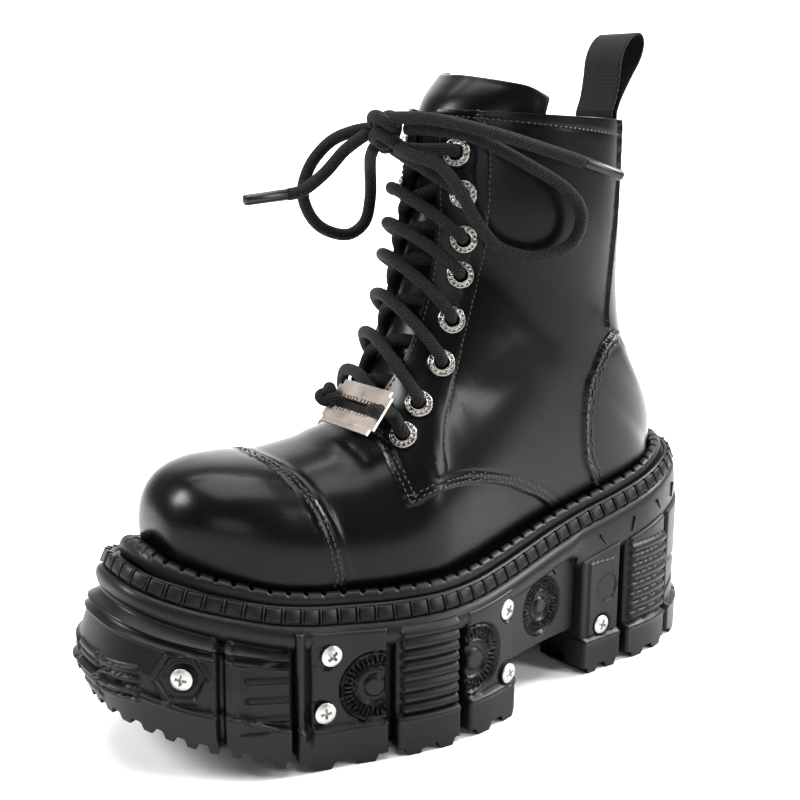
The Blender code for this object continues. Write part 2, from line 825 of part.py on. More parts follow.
# tongue behind the throat, standing above the collar
tongue_low = throat_row - 1
tongue_side = 2
tongue_cells = []
for i in range(tongue_low, len(upper_rows) - 1):
    side_cells = tongue_side + (1 if i >= collar_row - 3 else 0)
    for j in range(middle_low - side_cells, middle_high + side_cells):
        tongue_cells.append((i, j))
tongue_top = -wall - 0.0014
tongue = shell("tongue", leather, tongue_cells, grid, normals, tongue_top, tongue_top - tongue_thick, False)

# welt ring around the upper
welt_levels = (
    # out from the feather, above the rim
    (0.0044, rim_band + 0.0003),
    (0.0092, rim_band + 0.0003),
    (0.0092, rim_band + 0.0034),
    (0.0080, rim_band + 0.0046),
    (0.0054, rim_band + 0.0046),
    (0.0046, rim_band + 0.0034),
)
welt_form = bmesh.new()
rings = []
for out, rise in welt_levels:
    def moved(y, out=out):
        return feather_amount(y) + out
    outer, inner = sides(moved)
    low = outer[0, 1]
    high = outer[-1, 1]
    ring = []
    ys = [low + (high - low) * s for s in stations]
    first = [(edge_x(outer, y), y, rim_z(y) + rise) for y in ys]
    second = [(edge_x(inner, y), y, rim_z(y) + rise) for y in ys]
    rings.append(first + second[-2:0:-1])
add_rings(welt_form, rings, "around")
new_object("welt", welt_form, rubber)

# insole on the sole inside the upper
insole_form = bmesh.new()
rings = []
for out, rise in ((-0.0058, 0.0), (-0.0058, insole_thick)):
    def moved(y, out=out):
        return feather_amount(y) + out
    outer, inner = sides(moved)
    low = outer[0, 1]
    high = outer[-1, 1]
    ys = [low + (high - low) * s for s in stations]
    first = [(edge_x(outer, y), y, rim_z(y) + rim_band + seat_gap + rise) for y in ys]
    second = [(edge_x(inner, y), y, rim_z(y) + rim_band + seat_gap + rise) for y in ys]
    rings.append(first + second[-2:0:-1])
add_rings(insole_form, rings, "ladder")
new_object("insole", insole_form, lining)


def tube(form, points, radius, sides_count):
    # closed tube along the points
    pts = [Vector(p) for p in points]
    ways = []
    for k in range(len(pts)):
        before = pts[max(0, k - 1)]
        after = pts[min(len(pts) - 1, k + 1)]
        ways.append((after - before).normalized())
    across = ways[0].cross(Vector((0.3, 0.2, 0.9))).normalized()
    rings = []
    for place, way in zip(pts, ways):
        across = (across - way * across.dot(way)).normalized()
        upward = way.cross(across)
        ring = []
        for k in range(sides_count):
            angle = 2 * math.pi * k / sides_count
            ring.append(place + (across * math.cos(angle) + upward * math.sin(angle)) * radius)
        rings.append(ring)
    add_rings(form, rings, "ends")


# criss-cross bars over the tongue, from eyelet to eyelet
lace_radius = lace_diameter / 2
bar_lift = 0.0021 + lace_radius + 0.0016
middle_lift = step_up + lace_radius + 0.0020
knot_row = 25.3
knot_lift = 0.0172


def over(number, side):
    place, turn = eyelets[(side, number)]
    return place + turn * bar_lift


def bar_points(number, side, after, other):
    # the run from one eyelet to the opposite one
    row_a = eyelet_rows[number]
    row_b = eyelet_rows[after]
    run_a = throat_width * eyelet_shares[number]
    run_b = throat_width * eyelet_shares[after]
    path = [over(number, side)]
    for share in (0.32, 0.68):
        signed = side * run_a * (1 - share) + other * run_b * share
        row = row_a * (1 - share) + row_b * share
        lift = middle_lift + (bar_lift + step_up - middle_lift) * (2 * abs(share - 0.5)) ** 1.5
        path.append(surface(row, abs(signed), 1 if signed >= 0 else -1, lift)[0])
    path.append(over(after, other))
    first = (path[0] - path[1]).normalized()
    final = (path[-1] - path[-2]).normalized()
    path[0] = path[0] + first * 0.0012
    path[-1] = path[-1] + final * 0.0012
    return path


last = len(eyelet_rows) - 1
lace_form = bmesh.new()
tube(lace_form, bar_points(last, 1, last, -1), lace_radius, 6)
crossings = new_object("lace_crossings", lace_form, cord_black)
runs_of_lace = []
for number in range(last):
    for side in (1, -1):
        size = lace_radius * (1.0 - 0.002 * number)
        runs_of_lace.append((bar_points(number, side, number + 1, -side), size))
for side in (1, -1):
    start = over(0, side)
    top = surface(knot_row - 0.30, 0.0085, side, knot_lift - 0.0045)[0]
    runs_of_lace.append(([start + (start - top).normalized() * 0.0012, top], lace_radius * 0.99))
for line, size in runs_of_lace:
    lace_form = bmesh.new()
    tube(lace_form, line, size, 6)
    lace_tool = new_object("lace_tool", lace_form, cord_black)
    combine(crossings, lace_tool, "UNION", "MANIFOLD")
    settle(crossings)
    drop(lace_tool)

# knot, loops and ends of the bow
knot_place = surface(knot_row, 0.0, 1, knot_lift)[0]
form = bmesh.new()
made = bmesh.ops.create_icosphere(form, subdivisions=2, radius=1.0)
for v in made["verts"]:
    v.co = Vector((v.co.x * 0.0078, v.co.y * 0.0068, v.co.z * 0.0072)) + knot_place
new_object("lace_knot", form, cord_black)

# routes from the knot: shares of the sole length
bow_rows = {
    "lace_loop_l": ((0.031, 0.006, 0.001), (0.078, 0.028, 0.000), (0.114, 0.069, -0.010), (0.146, 0.133, -0.045),
                    (0.161, 0.195, -0.081), (0.162, 0.225, -0.118), (0.155, 0.212, -0.160), (0.143, 0.158, -0.176),
                    (0.129, 0.104, -0.162), (0.124, 0.068, -0.126), (0.118, 0.040, -0.080), (0.098, 0.020, -0.047),
                    (0.062, -0.002, -0.034), (0.028, -0.004, -0.025)),
    "lace_loop_m": ((-0.031, 0.002, 0.002), (-0.060, -0.020, -0.004), (-0.085, -0.045, -0.020), (-0.100, -0.070, -0.055),
                    (-0.106, -0.078, -0.098), (-0.106, -0.054, -0.140), (-0.102, -0.008, -0.157), (-0.102, 0.026, -0.140),
                    (-0.104, 0.034, -0.103), (-0.100, 0.024, -0.062), (-0.068, -0.012, -0.038), (-0.029, -0.002, -0.023)),
    "lace_end_l": ((0.025, -0.014, 0.016), (0.076, 0.010, 0.016), (0.112, 0.036, 0.009), (0.152, 0.092, -0.008),
                   (0.180, 0.178, -0.035), (0.186, 0.207, -0.044)),
    "lace_end_m": ((-0.017, -0.021, -0.005), (-0.044, -0.044, -0.030), (-0.060, -0.068, -0.062), (-0.062, -0.104, -0.086),
                   (-0.062, -0.133, -0.091)),
}


def route(points, spacing):
    # even points on a smooth curve through the route
    pts = np.array(points)
    runs = np.concatenate([[0], np.cumsum(np.linalg.norm(np.diff(pts, axis=0), axis=1))])
    fine = []
    for run in np.linspace(0, runs[-1], 300):
        fine.append([smooth(runs, pts[:, axis], run) for axis in range(3)])
    fine = np.array(fine)
    lengths = np.concatenate([[0], np.cumsum(np.linalg.norm(np.diff(fine, axis=0), axis=1))])
    count = max(4, int(round(lengths[-1] / spacing)) + 1)
    wanted = np.linspace(0, lengths[-1], count)
    return np.stack([np.interp(wanted, lengths, fine[:, axis]) for axis in range(3)], 1)


def cord(name, points, radius, finish):
    shape = bpy.data.curves.new(name, "CURVE")
    shape.dimensions = "3D"
    shape.bevel_depth = radius
    shape.bevel_resolution = 2
    shape.use_fill_caps = True
    line = shape.splines.new("POLY")
    line.points.add(len(points) - 1)
    for item, p in zip(line.points, points):
        item.co = (p[0], p[1], p[2], 1.0)
    made = bpy.data.objects.new(name, shape)
    bpy.context.scene.collection.objects.link(made)
    shape.materials.append(finish)
    return made


for name in bow_rows:
    points = [tuple(Vector(p) * sole_length + knot_place) for p in bow_rows[name]]
    line = route(points, lace_diameter * 2.4)
    cord(name, line, lace_radius, cord_black)
    if "end" in name:
        way = Vector(line[-1]) - Vector(line[-2])
        way.normalize()
        start = Vector(line[-1]) + way * 0.0003
        form = bmesh.new()
        tube(form, [start, start + way * 0.020], lace_radius * 0.92, 10)
        new_object("aglet" + name[-2:], form, antique)

# screw heads on the flank: share of length, height share, out of the rim
screw_rows = (
    # along, height, out
    (0.0550, 0.760, 0.0),
    (0.2277, 0.814, 0.0),
    (0.2166, 0.412, 0.0),
    (0.5095, 0.845, 0.0),
    (0.5084, 0.353, 0.0),
    (0.7368, 0.381, 0.0),
)


def flank_hit(place, way):
    # where a line into the sole first meets it
    graph_hit, spot, turn, number = outsole.ray_cast(place, way)
    return graph_hit, spot


for side, word in ((1, "l"), (-1, "m")):
    for number, (share, high, out) in enumerate(screw_rows):
        spot = rim_spot(side, share)
        x, y = rim_at(spot, 0.012)
        x0, y0 = rim_at(spot, 0.0)
        way = Vector((x0 - x, y0 - y, 0.0)).normalized()
        z = high * platform_height
        best = None
        across = Vector((-way.y, way.x, 0.0))
        for dx, dz in ((0, 0), (1, 0), (-1, 0), (0, 1), (0, -1), (0.7, 0.7), (-0.7, 0.7), (0.7, -0.7), (-0.7, -0.7)):
            start = Vector((x, y, z)) + across * (dx * screw_radius) + Vector((0, 0, dz * screw_radius))
            hit, point = flank_hit(start, way)
            if hit:
                depth = (point - start).dot(way)
                best = depth if best is None else min(best, depth)
        if best is None:
            best = 0.012
        place = Vector((x, y, z)) + way * (best - gap)
        turn = -way
        form = bmesh.new()
        profile = ((screw_radius * 0.55, 0.0), (screw_radius, 0.0), (screw_radius, 0.0007), (screw_radius * 0.62, 0.0015))
        rings = [turned_ring(place, turn, radius, rise, 10) for radius, rise in profile[1:]]
        add_rings(form, rings, "ends")
        new_object("screw_%s_%d" % (word, number + 1), form, nickel)

# blade-shaped charm on the lowest bar, with a slot
charm_place, charm_turn = surface(eyelet_rows[last] - 0.5, throat_width * 0.80, 1, step_up + lace_diameter + 0.0041)
across = Vector((1, 0, 0.06))
across = (across - charm_turn * across.dot(charm_turn)).normalized()
upward = charm_turn.cross(across).normalized()
charm_half = 0.0215
charm_tall = 0.0110
charm_thick = 0.0012
outline = []
for px, pz in ((-1.0, -0.78), (-0.86, -0.78), (-0.86, -1.0), (0.86, -1.0), (0.86, -0.78), (1.0, -0.78),
               (1.0, 0.78), (0.86, 0.78), (0.86, 1.0), (-0.86, 1.0), (-0.86, 0.78), (-1.0, 0.78)):
    outline.append((px * charm_half, pz * charm_tall))
slot = []
for px, pz in ((-0.66, -0.10), (-0.60, -0.20), (-0.30, -0.20), (0.30, -0.20), (0.60, -0.20), (0.66, -0.10),
               (0.66, 0.10), (0.60, 0.20), (0.30, 0.20), (-0.30, 0.20), (-0.60, 0.20), (-0.66, 0.10)):
    slot.append((px * charm_half, pz * charm_tall))
rings = []
for line, rise in ((outline, 0.0), (outline, charm_thick), (slot, charm_thick), (slot, 0.0)):
    rings.append([charm_place + across * a + upward * b + charm_turn * rise for a, b in line])
form = bmesh.new()
add_rings(form, rings, "around")
new_object("blade_charm", form, champagne)

# pull loop at the back of the collar: ribbon ring on a short stem
back_inner = upper_rows[collar_row][0] - 0.5
stem_y = back_inner * sole_length - wall - 0.0046 - ribbon * 1.1
stem_z = platform_height + shaft_rise * upper_rows[collar_row][1]
ring_outer = [(-ribbon * 1.05, -0.010), (-ribbon * 1.05, 0.012)]
ring_inner = [(-0.0003, 0.0155), (-0.0004, 0.0165)]
tall = loop_height
for k in range(13):
    angle = math.pi * (1.12 * k / 12 - 0.06)
    fat = 0.0068 * math.sin(math.pi * min(1.0, (k + 1.2) / 14.4)) ** 0.5
    ring_outer.append((-(fat + ribbon) * math.cos(angle), 0.026 + (tall - 0.026) * max(0.0, math.sin(angle)) - 0.002))
    ring_inner.append((-fat * math.cos(angle), 0.026 + (tall - 0.026 - ribbon) * max(0.0, math.sin(angle)) - 0.002))
ring_outer += [(ribbon * 1.05, 0.012), (ribbon * 1.05, -0.010)]
ring_inner += [(0.0004, 0.0165), (0.0003, 0.0155)]
rings = []
for line, x in ((ring_outer, -1), (ring_inner, -1), (ring_inner, 1), (ring_outer, 1)):
    ring = []
    for a, b in line:
        lean = loop_lean * max(0.0, b - 0.004)
        ring.append((x * loop_width / 2, stem_y + a + lean, stem_z + b))
    rings.append(ring)
form = bmesh.new()
add_rings(form, rings, "around")
new_object("pull_loop", form, ribbon_black)

# the middle of the boot's box goes over the origin
lows = [1e9, 1e9, 1e9]
highs = [-1e9, -1e9, -1e9]
for item in bpy.data.objects:
    if item.type != "MESH":
        continue
    if item.name.startswith(("lace_", "aglet")):
        continue
    for v in item.data.vertices:
        for axis in range(3):
            lows[axis] = min(lows[axis], v.co[axis])
            highs[axis] = max(highs[axis], v.co[axis])
shift = Vector((-(lows[0] + highs[0]) / 2, -(lows[1] + highs[1]) / 2, -lows[2]))
for item in bpy.data.objects:
    item.location = shift
print("shift", [round(v * 1000, 3) for v in shift])
print("box", [round((b - a) * 1000, 2) for a, b in zip(lows, highs)])
for item in bpy.data.objects:
    if item.type == "MESH":
        item.data.calc_loop_triangles()
        print(item.name, len(item.data.loop_triangles))
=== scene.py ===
import math

import bmesh
import bpy
import numpy as np
from mathutils import Matrix, Quaternion, Vector
from mathutils.bvhtree import BVHTree
from mathutils.kdtree import KDTree


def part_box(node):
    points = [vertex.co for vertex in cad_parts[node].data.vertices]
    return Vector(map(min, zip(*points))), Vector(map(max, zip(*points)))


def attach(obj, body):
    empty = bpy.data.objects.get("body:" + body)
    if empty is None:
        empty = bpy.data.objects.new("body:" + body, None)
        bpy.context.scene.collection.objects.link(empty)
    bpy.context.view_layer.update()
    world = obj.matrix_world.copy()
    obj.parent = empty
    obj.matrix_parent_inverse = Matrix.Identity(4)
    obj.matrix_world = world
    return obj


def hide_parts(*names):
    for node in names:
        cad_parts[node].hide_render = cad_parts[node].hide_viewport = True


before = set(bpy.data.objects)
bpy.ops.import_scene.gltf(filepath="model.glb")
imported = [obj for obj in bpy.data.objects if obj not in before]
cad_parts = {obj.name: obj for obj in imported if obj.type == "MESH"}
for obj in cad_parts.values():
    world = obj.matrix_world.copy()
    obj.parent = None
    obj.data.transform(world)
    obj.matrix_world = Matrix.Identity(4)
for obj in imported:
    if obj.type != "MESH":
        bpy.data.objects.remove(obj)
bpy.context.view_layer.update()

scene = bpy.context.scene

# sizes
boot = {
    "length": 0.296,
    "ball": 0.114,
    "platform": 0.058,
    "rise": 0.198,
    "shift": Vector((-0.006246, 0.003399, 0.0)),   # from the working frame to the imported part
}
mm = 0.001

# rim outline: share of the length, shares of the ball width outwards and inwards
outlineRows = (
    (0.0000, -0.018, 0.018), (0.0095, 0.132, 0.167), (0.0473, 0.256, 0.294), (0.0878, 0.340, 0.360),
    (0.1318, 0.401, 0.402), (0.1926, 0.452, 0.430), (0.2500, 0.480, 0.441), (0.3209, 0.531, 0.439),
    (0.3851, 0.558, 0.421), (0.4527, 0.546, 0.390), (0.5203, 0.501, 0.355), (0.5878, 0.452, 0.333),
    (0.6554, 0.410, 0.329), (0.7230, 0.385, 0.342), (0.7905, 0.375, 0.351), (0.8547, 0.353, 0.340),
    (0.9088, 0.301, 0.303), (0.9595, 0.215, 0.219), (0.9899, 0.110, 0.110), (1.0000, 0.000, 0.000),
)
# share of the length, rim and ground as shares of the platform height
sideRows = (
    (0.000, 1.345, 0.430), (0.030, 1.270, 0.345), (0.068, 1.205, 0.255), (0.115, 1.140, 0.180),
    (0.155, 1.085, 0.085), (0.205, 1.040, 0.010), (0.240, 1.018, 0.000), (0.300, 1.000, 0.000),
    (0.380, 0.998, 0.000), (0.470, 1.018, 0.000), (0.560, 1.075, 0.000), (0.640, 1.148, 0.000),
    (0.720, 1.228, 0.000), (0.800, 1.312, 0.000), (0.900, 1.425, 0.000), (1.000, 1.515, 0.000),
)


def smooth(xs, ys, x):
    # one smooth value through a table
    xs = np.asarray(xs, float)
    ys = np.asarray(ys, float)
    slopes = np.diff(ys) / np.diff(xs)
    tangents = np.empty(len(xs))
    tangents[0], tangents[-1] = slopes[0], slopes[-1]
    left, right = np.diff(xs)[:-1], np.diff(xs)[1:]
    tangents[1:-1] = (slopes[:-1] * right + slopes[1:] * left) / (left + right)
    tangents[1:-1][slopes[:-1] * slopes[1:] <= 0.0] = 0.0
    spot = int(np.clip(np.searchsorted(xs, x) - 1, 0, len(xs) - 2))
    width = xs[spot + 1] - xs[spot]
    u = (x - xs[spot]) / width
    first = (1 + 2 * u) * (1 - u) ** 2 * ys[spot] + u * (1 - u) ** 2 * width * tangents[spot]
    return float(first + u * u * (3 - 2 * u) * ys[spot + 1] + u * u * (u - 1) * width * tangents[spot + 1])


def column(rows, number):
    return [row[number] for row in rows]


def ramp(a, b, x):
    # soft step from 0 at a to 1 at b
    t = min(1.0, max(0.0, (x - a) / (b - a)))
    return t * t * (3 - 2 * t)


def ridge(distance, tall, half):
    # rounded line of a height and a half width, at its distance
    return tall * math.exp(-(distance / half) ** 2)


heightSteps = 400
shareColumn, rimColumn, groundColumn = (column(sideRows, n) for n in range(3))
heightTable = [(smooth(shareColumn, rimColumn, s), max(0.0, smooth(shareColumn, groundColumn, s)))
               for s in np.linspace(0, 1, heightSteps + 1)]


def along(y):
    return min(1.0, max(0.0, y / boot["length"] + 0.5))


def heightAt(y, which):
    s = along(y) * heightSteps
    k = min(heightSteps - 1, int(s))
    return boot["platform"] * (heightTable[k][which] * (1 - s + k) + heightTable[k + 1][which] * (s - k))


def rimZ(y):
    return heightAt(y, 0)


def groundZ(y):
    return heightAt(y, 1)


def curveBetween(p0, p1, p2, p3, u):
    # place at u on the smooth curve from p1 to p2, with its neighbours p0 and p3
    return 0.5 * (2 * p1 + (p2 - p0) * u + (2 * p0 - 5 * p1 + 4 * p2 - p3) * u * u
                  + (3 * p1 - p0 - 3 * p2 + p3) * u ** 3)


def roundCurve(points, count):
    # closed curve through the points, evenly spaced
    pts = np.asarray(points, float)
    total = len(pts)
    dense = []
    for k in range(total):
        a, b, c, d = (pts[(k + n) % total] for n in (-1, 0, 1, 2))
        first = (c - a) * np.linalg.norm(c - b) / (np.linalg.norm(b - a) + np.linalg.norm(c - b))
        second = (d - b) * np.linalg.norm(c - b) / (np.linalg.norm(c - b) + np.linalg.norm(d - c))
        for u in np.linspace(0, 1, 16, endpoint=False):
            h = (2 * u ** 3 - 3 * u ** 2 + 1) * b + (u ** 3 - 2 * u ** 2 + u) * first
            dense.append(h + (3 * u ** 2 - 2 * u ** 3) * c + (u ** 3 - u ** 2) * second)
    dense = np.array(dense)
    steps = np.linalg.norm(np.roll(dense, -1, 0) - dense, axis=1)
    runs = np.concatenate([[0], np.cumsum(steps)])
    closed = np.vstack([dense, dense[:1]])
    wanted = np.linspace(0, runs[-1], count, endpoint=False)
    even = [np.interp(wanted, runs, closed[:, axis]) for axis in range(2)]
    return np.stack(even, 1), runs[-1]


outerPoints = [(row[1] * boot["ball"], (row[0] - 0.5) * boot["length"]) for row in outlineRows]
innerPoints = [(-row[2] * boot["ball"], (row[0] - 0.5) * boot["length"]) for row in outlineRows]
rimSteps = 480
rimCurve, rimLength = roundCurve(outerPoints + innerPoints[-2:0:-1], rimSteps)
tangent = np.roll(rimCurve, -1, 0) - np.roll(rimCurve, 1, 0)
tangent /= np.linalg.norm(tangent, axis=1)[:, None]
rimNormal = np.stack([tangent[:, 1], -tangent[:, 0]], 1)
toeSpot = int(np.argmin(rimCurve[:, 1]))
heelSpot = int(np.argmax(rimCurve[:, 1]))
spotSize = rimLength / rimSteps


def rimAt(s, offset):
    # place beside the rim, s metres from the toe tip along the outer side
    spot = toeSpot + s / spotSize
    low = int(math.floor(spot)) % rimSteps
    high = (low + 1) % rimSteps
    part = spot - math.floor(spot)
    place = rimCurve[low] * (1 - part) + rimCurve[high] * part
    way = rimNormal[low] * (1 - part) + rimNormal[high] * part
    way = way / np.linalg.norm(way)
    return place + way * offset, way


def runOf(side, y):
    # s of a length position on the outer (1) or inner (-1) side
    span = (heelSpot - toeSpot) % rimSteps
    numbers = range(span + 1) if side > 0 else range(rimSteps - span + 1)
    ys = np.maximum.accumulate([rimCurve[(toeSpot + side * n) % rimSteps, 1] for n in numbers])
    return side * float(np.interp(y, ys, list(numbers))) * spotSize


def sides(amount):
    # both sides of the rim moved outwards
    shift = np.array([amount(y) if callable(amount) else amount for y in rimCurve[:, 1]])[:, None]
    moved = rimCurve + rimNormal * shift
    low = int(np.argmin(moved[:, 1]))
    top = (int(np.argmax(moved[:, 1])) - low) % rimSteps
    order = np.roll(moved, -low, 0)
    return order[:top + 1], np.vstack([order[top:], order[:1]])[::-1]


def edgeX(curve, y):
    return float(np.interp(y, np.maximum.accumulate(curve[:, 1]), curve[:, 0]))


def toePush(s):
    # the toe's lower flank stands out beyond its rim
    return 0.0075 * max(0.0, 1.0 - along(rimAt(s, 0.0)[0][1]) / 0.19)


# shared tools
def pieceFrom(form, name, finish, soft=True, body=True):
    mesh = bpy.data.meshes.new(name)
    form.to_mesh(mesh)
    form.free()
    piece = bpy.data.objects.new(name, mesh)
    scene.collection.objects.link(piece)
    mesh.materials.append(finish)
    for face in mesh.polygons:
        face.use_smooth = soft
    if body:
        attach(piece, "root")
    return piece


def place(form, verts=None):
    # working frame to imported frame
    bmesh.ops.translate(form, verts=verts or form.verts, vec=boot["shift"])


def gridForm(across, up, layers=(), uv=False):
    # flat grid whose verts know their column and row
    form = bmesh.new()
    for name in layers:
        form.verts.layers.float.new(name)
    if uv:
        form.loops.layers.uv.new("UVMap")
    bmesh.ops.create_grid(form, x_segments=across, y_segments=up, size=0.5)
    spots = {}
    for v in form.verts:
        spots[v] = (int(round((v.co.x + 0.5) * across)), int(round((v.co.y + 0.5) * up)))
    return form, spots


def mergeForms(forms, uv=False):
    # several forms as one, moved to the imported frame
    whole = bmesh.new()
    if uv:
        whole.loops.layers.uv.new("UVMap")
    for form in forms:
        mesh = bpy.data.meshes.new("part")
        form.to_mesh(mesh)
        form.free()
        whole.from_mesh(mesh)
        bpy.data.meshes.remove(mesh)
    place(whole)
    return whole


def roundOff(form, edges, offset, segments):
    return bmesh.ops.bevel(form, geom=edges, offset=offset, segments=segments, profile=0.5,
                           affect="EDGES", material=-1)


def roundBox(form, size, offset, segments, where):
    # box with rounded edges, put where it belongs
    made = bmesh.ops.create_cube(form, size=1.0, matrix=Matrix.Diagonal((*size, 1.0)))
    edges = list({e for v in made["verts"] for e in v.link_edges})
    new = roundOff(form, edges, offset, segments)
    verts = list({v for f in new["faces"] for v in f.verts})
    bmesh.ops.transform(form, matrix=where, verts=verts)


def sharpEdges(form, angle):
    return [e for e in form.edges if len(e.link_faces) == 2 and e.calc_face_angle(0.0) > angle]


def turnOutward(form, axis):
    # outward faces, told by the vert that lies furthest along one axis
    bmesh.ops.recalc_face_normals(form, faces=form.faces)
    form.normal_update()
    if max(form.verts, key=lambda v: v.co[axis]).normal[axis] < 0:
        bmesh.ops.reverse_faces(form, faces=form.faces)


def hardEdges(piece, degrees):
    # keeps corners crisp where faces meet sharply
    mesh = piece.data
    form = bmesh.new()
    form.from_mesh(mesh)
    for edge in form.edges:
        edge.smooth = len(edge.link_faces) == 2 and edge.calc_face_angle(0.0) < math.radians(degrees)
    form.to_mesh(mesh)
    form.free()


# camera
camera = {
    "spot": Vector((0.452984, -0.318972, 0.258282)) + boot["shift"],
    "ahead": Vector((-0.80590, 0.54676, -0.22709)),
    "roll": -0.301,
    "lens": 57.22,
}
lens = bpy.data.cameras.new("camera")
lens.lens = camera["lens"]
lens.sensor_width = 36
lens.sensor_fit = "HORIZONTAL"
lens.clip_start = 0.01
eye = bpy.data.objects.new("camera", lens)
scene.collection.objects.link(eye)
aim = camera["ahead"].to_track_quat("-Z", "Y")
eye.rotation_mode = "QUATERNION"
eye.rotation_quaternion = Quaternion(camera["ahead"].normalized(), math.radians(camera["roll"])) @ aim
eye.location = camera["spot"]
scene.camera = eye
print("camera placed")

# materials
def effectGroup(name, inputs, output, kind="NodeSocketFloat"):
    # shader node group with named inputs and one output
    group = bpy.data.node_groups.new(name, "ShaderNodeTree")
    for label, value in inputs:
        item = group.interface.new_socket(name=label, in_out="INPUT", socket_type="NodeSocketFloat")
        item.default_value = value
    group.interface.new_socket(name=output, in_out="OUTPUT", socket_type=kind)
    return group, group.nodes.new("NodeGroupInput"), group.nodes.new("NodeGroupOutput")


def makeGrain():
    # fine grain with broad soft unevenness, in Object coordinates
    inputs = (("Scale", 900.0), ("Broad", 30.0), ("Share", 0.4))
    group, start, end = effectGroup("surfaceGrain", inputs, "Height")
    nodes, links = group.nodes, group.links
    where = nodes.new("ShaderNodeTexCoord")
    fine = nodes.new("ShaderNodeTexNoise")
    fine.inputs["Detail"].default_value = 3.0
    broad = nodes.new("ShaderNodeTexNoise")
    broad.inputs["Detail"].default_value = 2.0
    blend = nodes.new("ShaderNodeMix")
    links.new(where.outputs["Object"], fine.inputs["Vector"])
    links.new(where.outputs["Object"], broad.inputs["Vector"])
    links.new(start.outputs["Scale"], fine.inputs["Scale"])
    links.new(start.outputs["Broad"], broad.inputs["Scale"])
    links.new(start.outputs["Share"], blend.inputs[0])
    links.new(fine.outputs["Fac"], blend.inputs[2])
    links.new(broad.outputs["Fac"], blend.inputs[3])
    links.new(blend.outputs[0], end.inputs["Height"])
    return group


def makeBraid():
    # two crossing strands along the piece's own UV map, U along and V around, in turns
    group, start, end = effectGroup("braidWeave", (("Along", 420.0), ("Around", 6.0)), "Height")
    nodes, links = group.nodes, group.links
    where = nodes.new("ShaderNodeTexCoord")
    parts = nodes.new("ShaderNodeSeparateXYZ")
    links.new(where.outputs["UV"], parts.inputs[0])

    def maths(kind, a, b=None):
        node = nodes.new("ShaderNodeMath")
        node.operation = kind
        for number, value in enumerate((a, b)):
            if value is None:
                continue
            if isinstance(value, float):
                node.inputs[number].default_value = value
            else:
                links.new(value, node.inputs[number])
        return node.outputs[0]
    run = maths("MULTIPLY", parts.outputs["X"], start.outputs["Along"])
    turn = maths("MULTIPLY", parts.outputs["Y"], start.outputs["Around"])
    turn = maths("MULTIPLY", turn, 2 * math.pi)
    first = maths("SINE", maths("ADD", run, turn))
    second = maths("SINE", maths("SUBTRACT", run, turn))
    made = maths("MAXIMUM", maths("ABSOLUTE", first), maths("ABSOLUTE", second))
    links.new(made, end.inputs["Height"])
    return group


grainGroup = makeGrain()
braidGroup = makeBraid()


def finishOf(name, color, rough, metal=0.0, grain=(900.0, 30.0, 0.4), bump=0.05, depth=0.0002, spread=0.06,
             tint=0.25, coat=0.0, coatRough=0.2, sheen=0.0, braid=None, specular=0.5):
    # one Principled material with grain in its bump, roughness and colour
    made = bpy.data.materials.new(name)
    made.use_nodes = True
    nodes, links = made.node_tree.nodes, made.node_tree.links
    shader = nodes["Principled BSDF"]
    shader.inputs["Metallic"].default_value = metal
    shader.inputs["Specular IOR Level"].default_value = specular
    shader.inputs["Coat Weight"].default_value = coat
    shader.inputs["Coat Roughness"].default_value = coatRough
    shader.inputs["Sheen Weight"].default_value = sheen
    shader.inputs["Sheen Roughness"].default_value = 0.5
    texture = nodes.new("ShaderNodeGroup")
    texture.node_tree = grainGroup
    for label, value in zip(("Scale", "Broad", "Share"), grain):
        texture.inputs[label].default_value = value
    height = texture.outputs["Height"]
    if braid:
        weave = nodes.new("ShaderNodeGroup")
        weave.node_tree = braidGroup
        weave.inputs["Along"].default_value = braid[0]
        weave.inputs["Around"].default_value = braid[1]
        both = nodes.new("ShaderNodeMix")
        both.inputs[0].default_value = 0.25
        links.new(weave.outputs["Height"], both.inputs[2])
        links.new(height, both.inputs[3])
        height = both.outputs[0]
    relief = nodes.new("ShaderNodeBump")
    relief.inputs["Strength"].default_value = bump
    relief.inputs["Distance"].default_value = depth
    links.new(height, relief.inputs["Height"])
    links.new(relief.outputs["Normal"], shader.inputs["Normal"])
    gloss = nodes.new("ShaderNodeMapRange")
    gloss.inputs["To Min"].default_value = max(0.03, rough - spread)
    gloss.inputs["To Max"].default_value = min(1.0, rough + spread)
    gloss.inputs["From Min"].default_value = 0.3
    gloss.inputs["From Max"].default_value = 0.7
    links.new(height, gloss.inputs["Value"])
    links.new(gloss.outputs[0], shader.inputs["Roughness"])
    shade = nodes.new("ShaderNodeMix")
    shade.data_type = "RGBA"
    shade.inputs[6].default_value = (*[c * (1 - tint) for c in color], 1.0)
    shade.inputs[7].default_value = (*[min(1.0, c * (1 + tint)) for c in color], 1.0)
    links.new(height, shade.inputs[0])
    links.new(shade.outputs[2], shader.inputs["Base Color"])
    return made


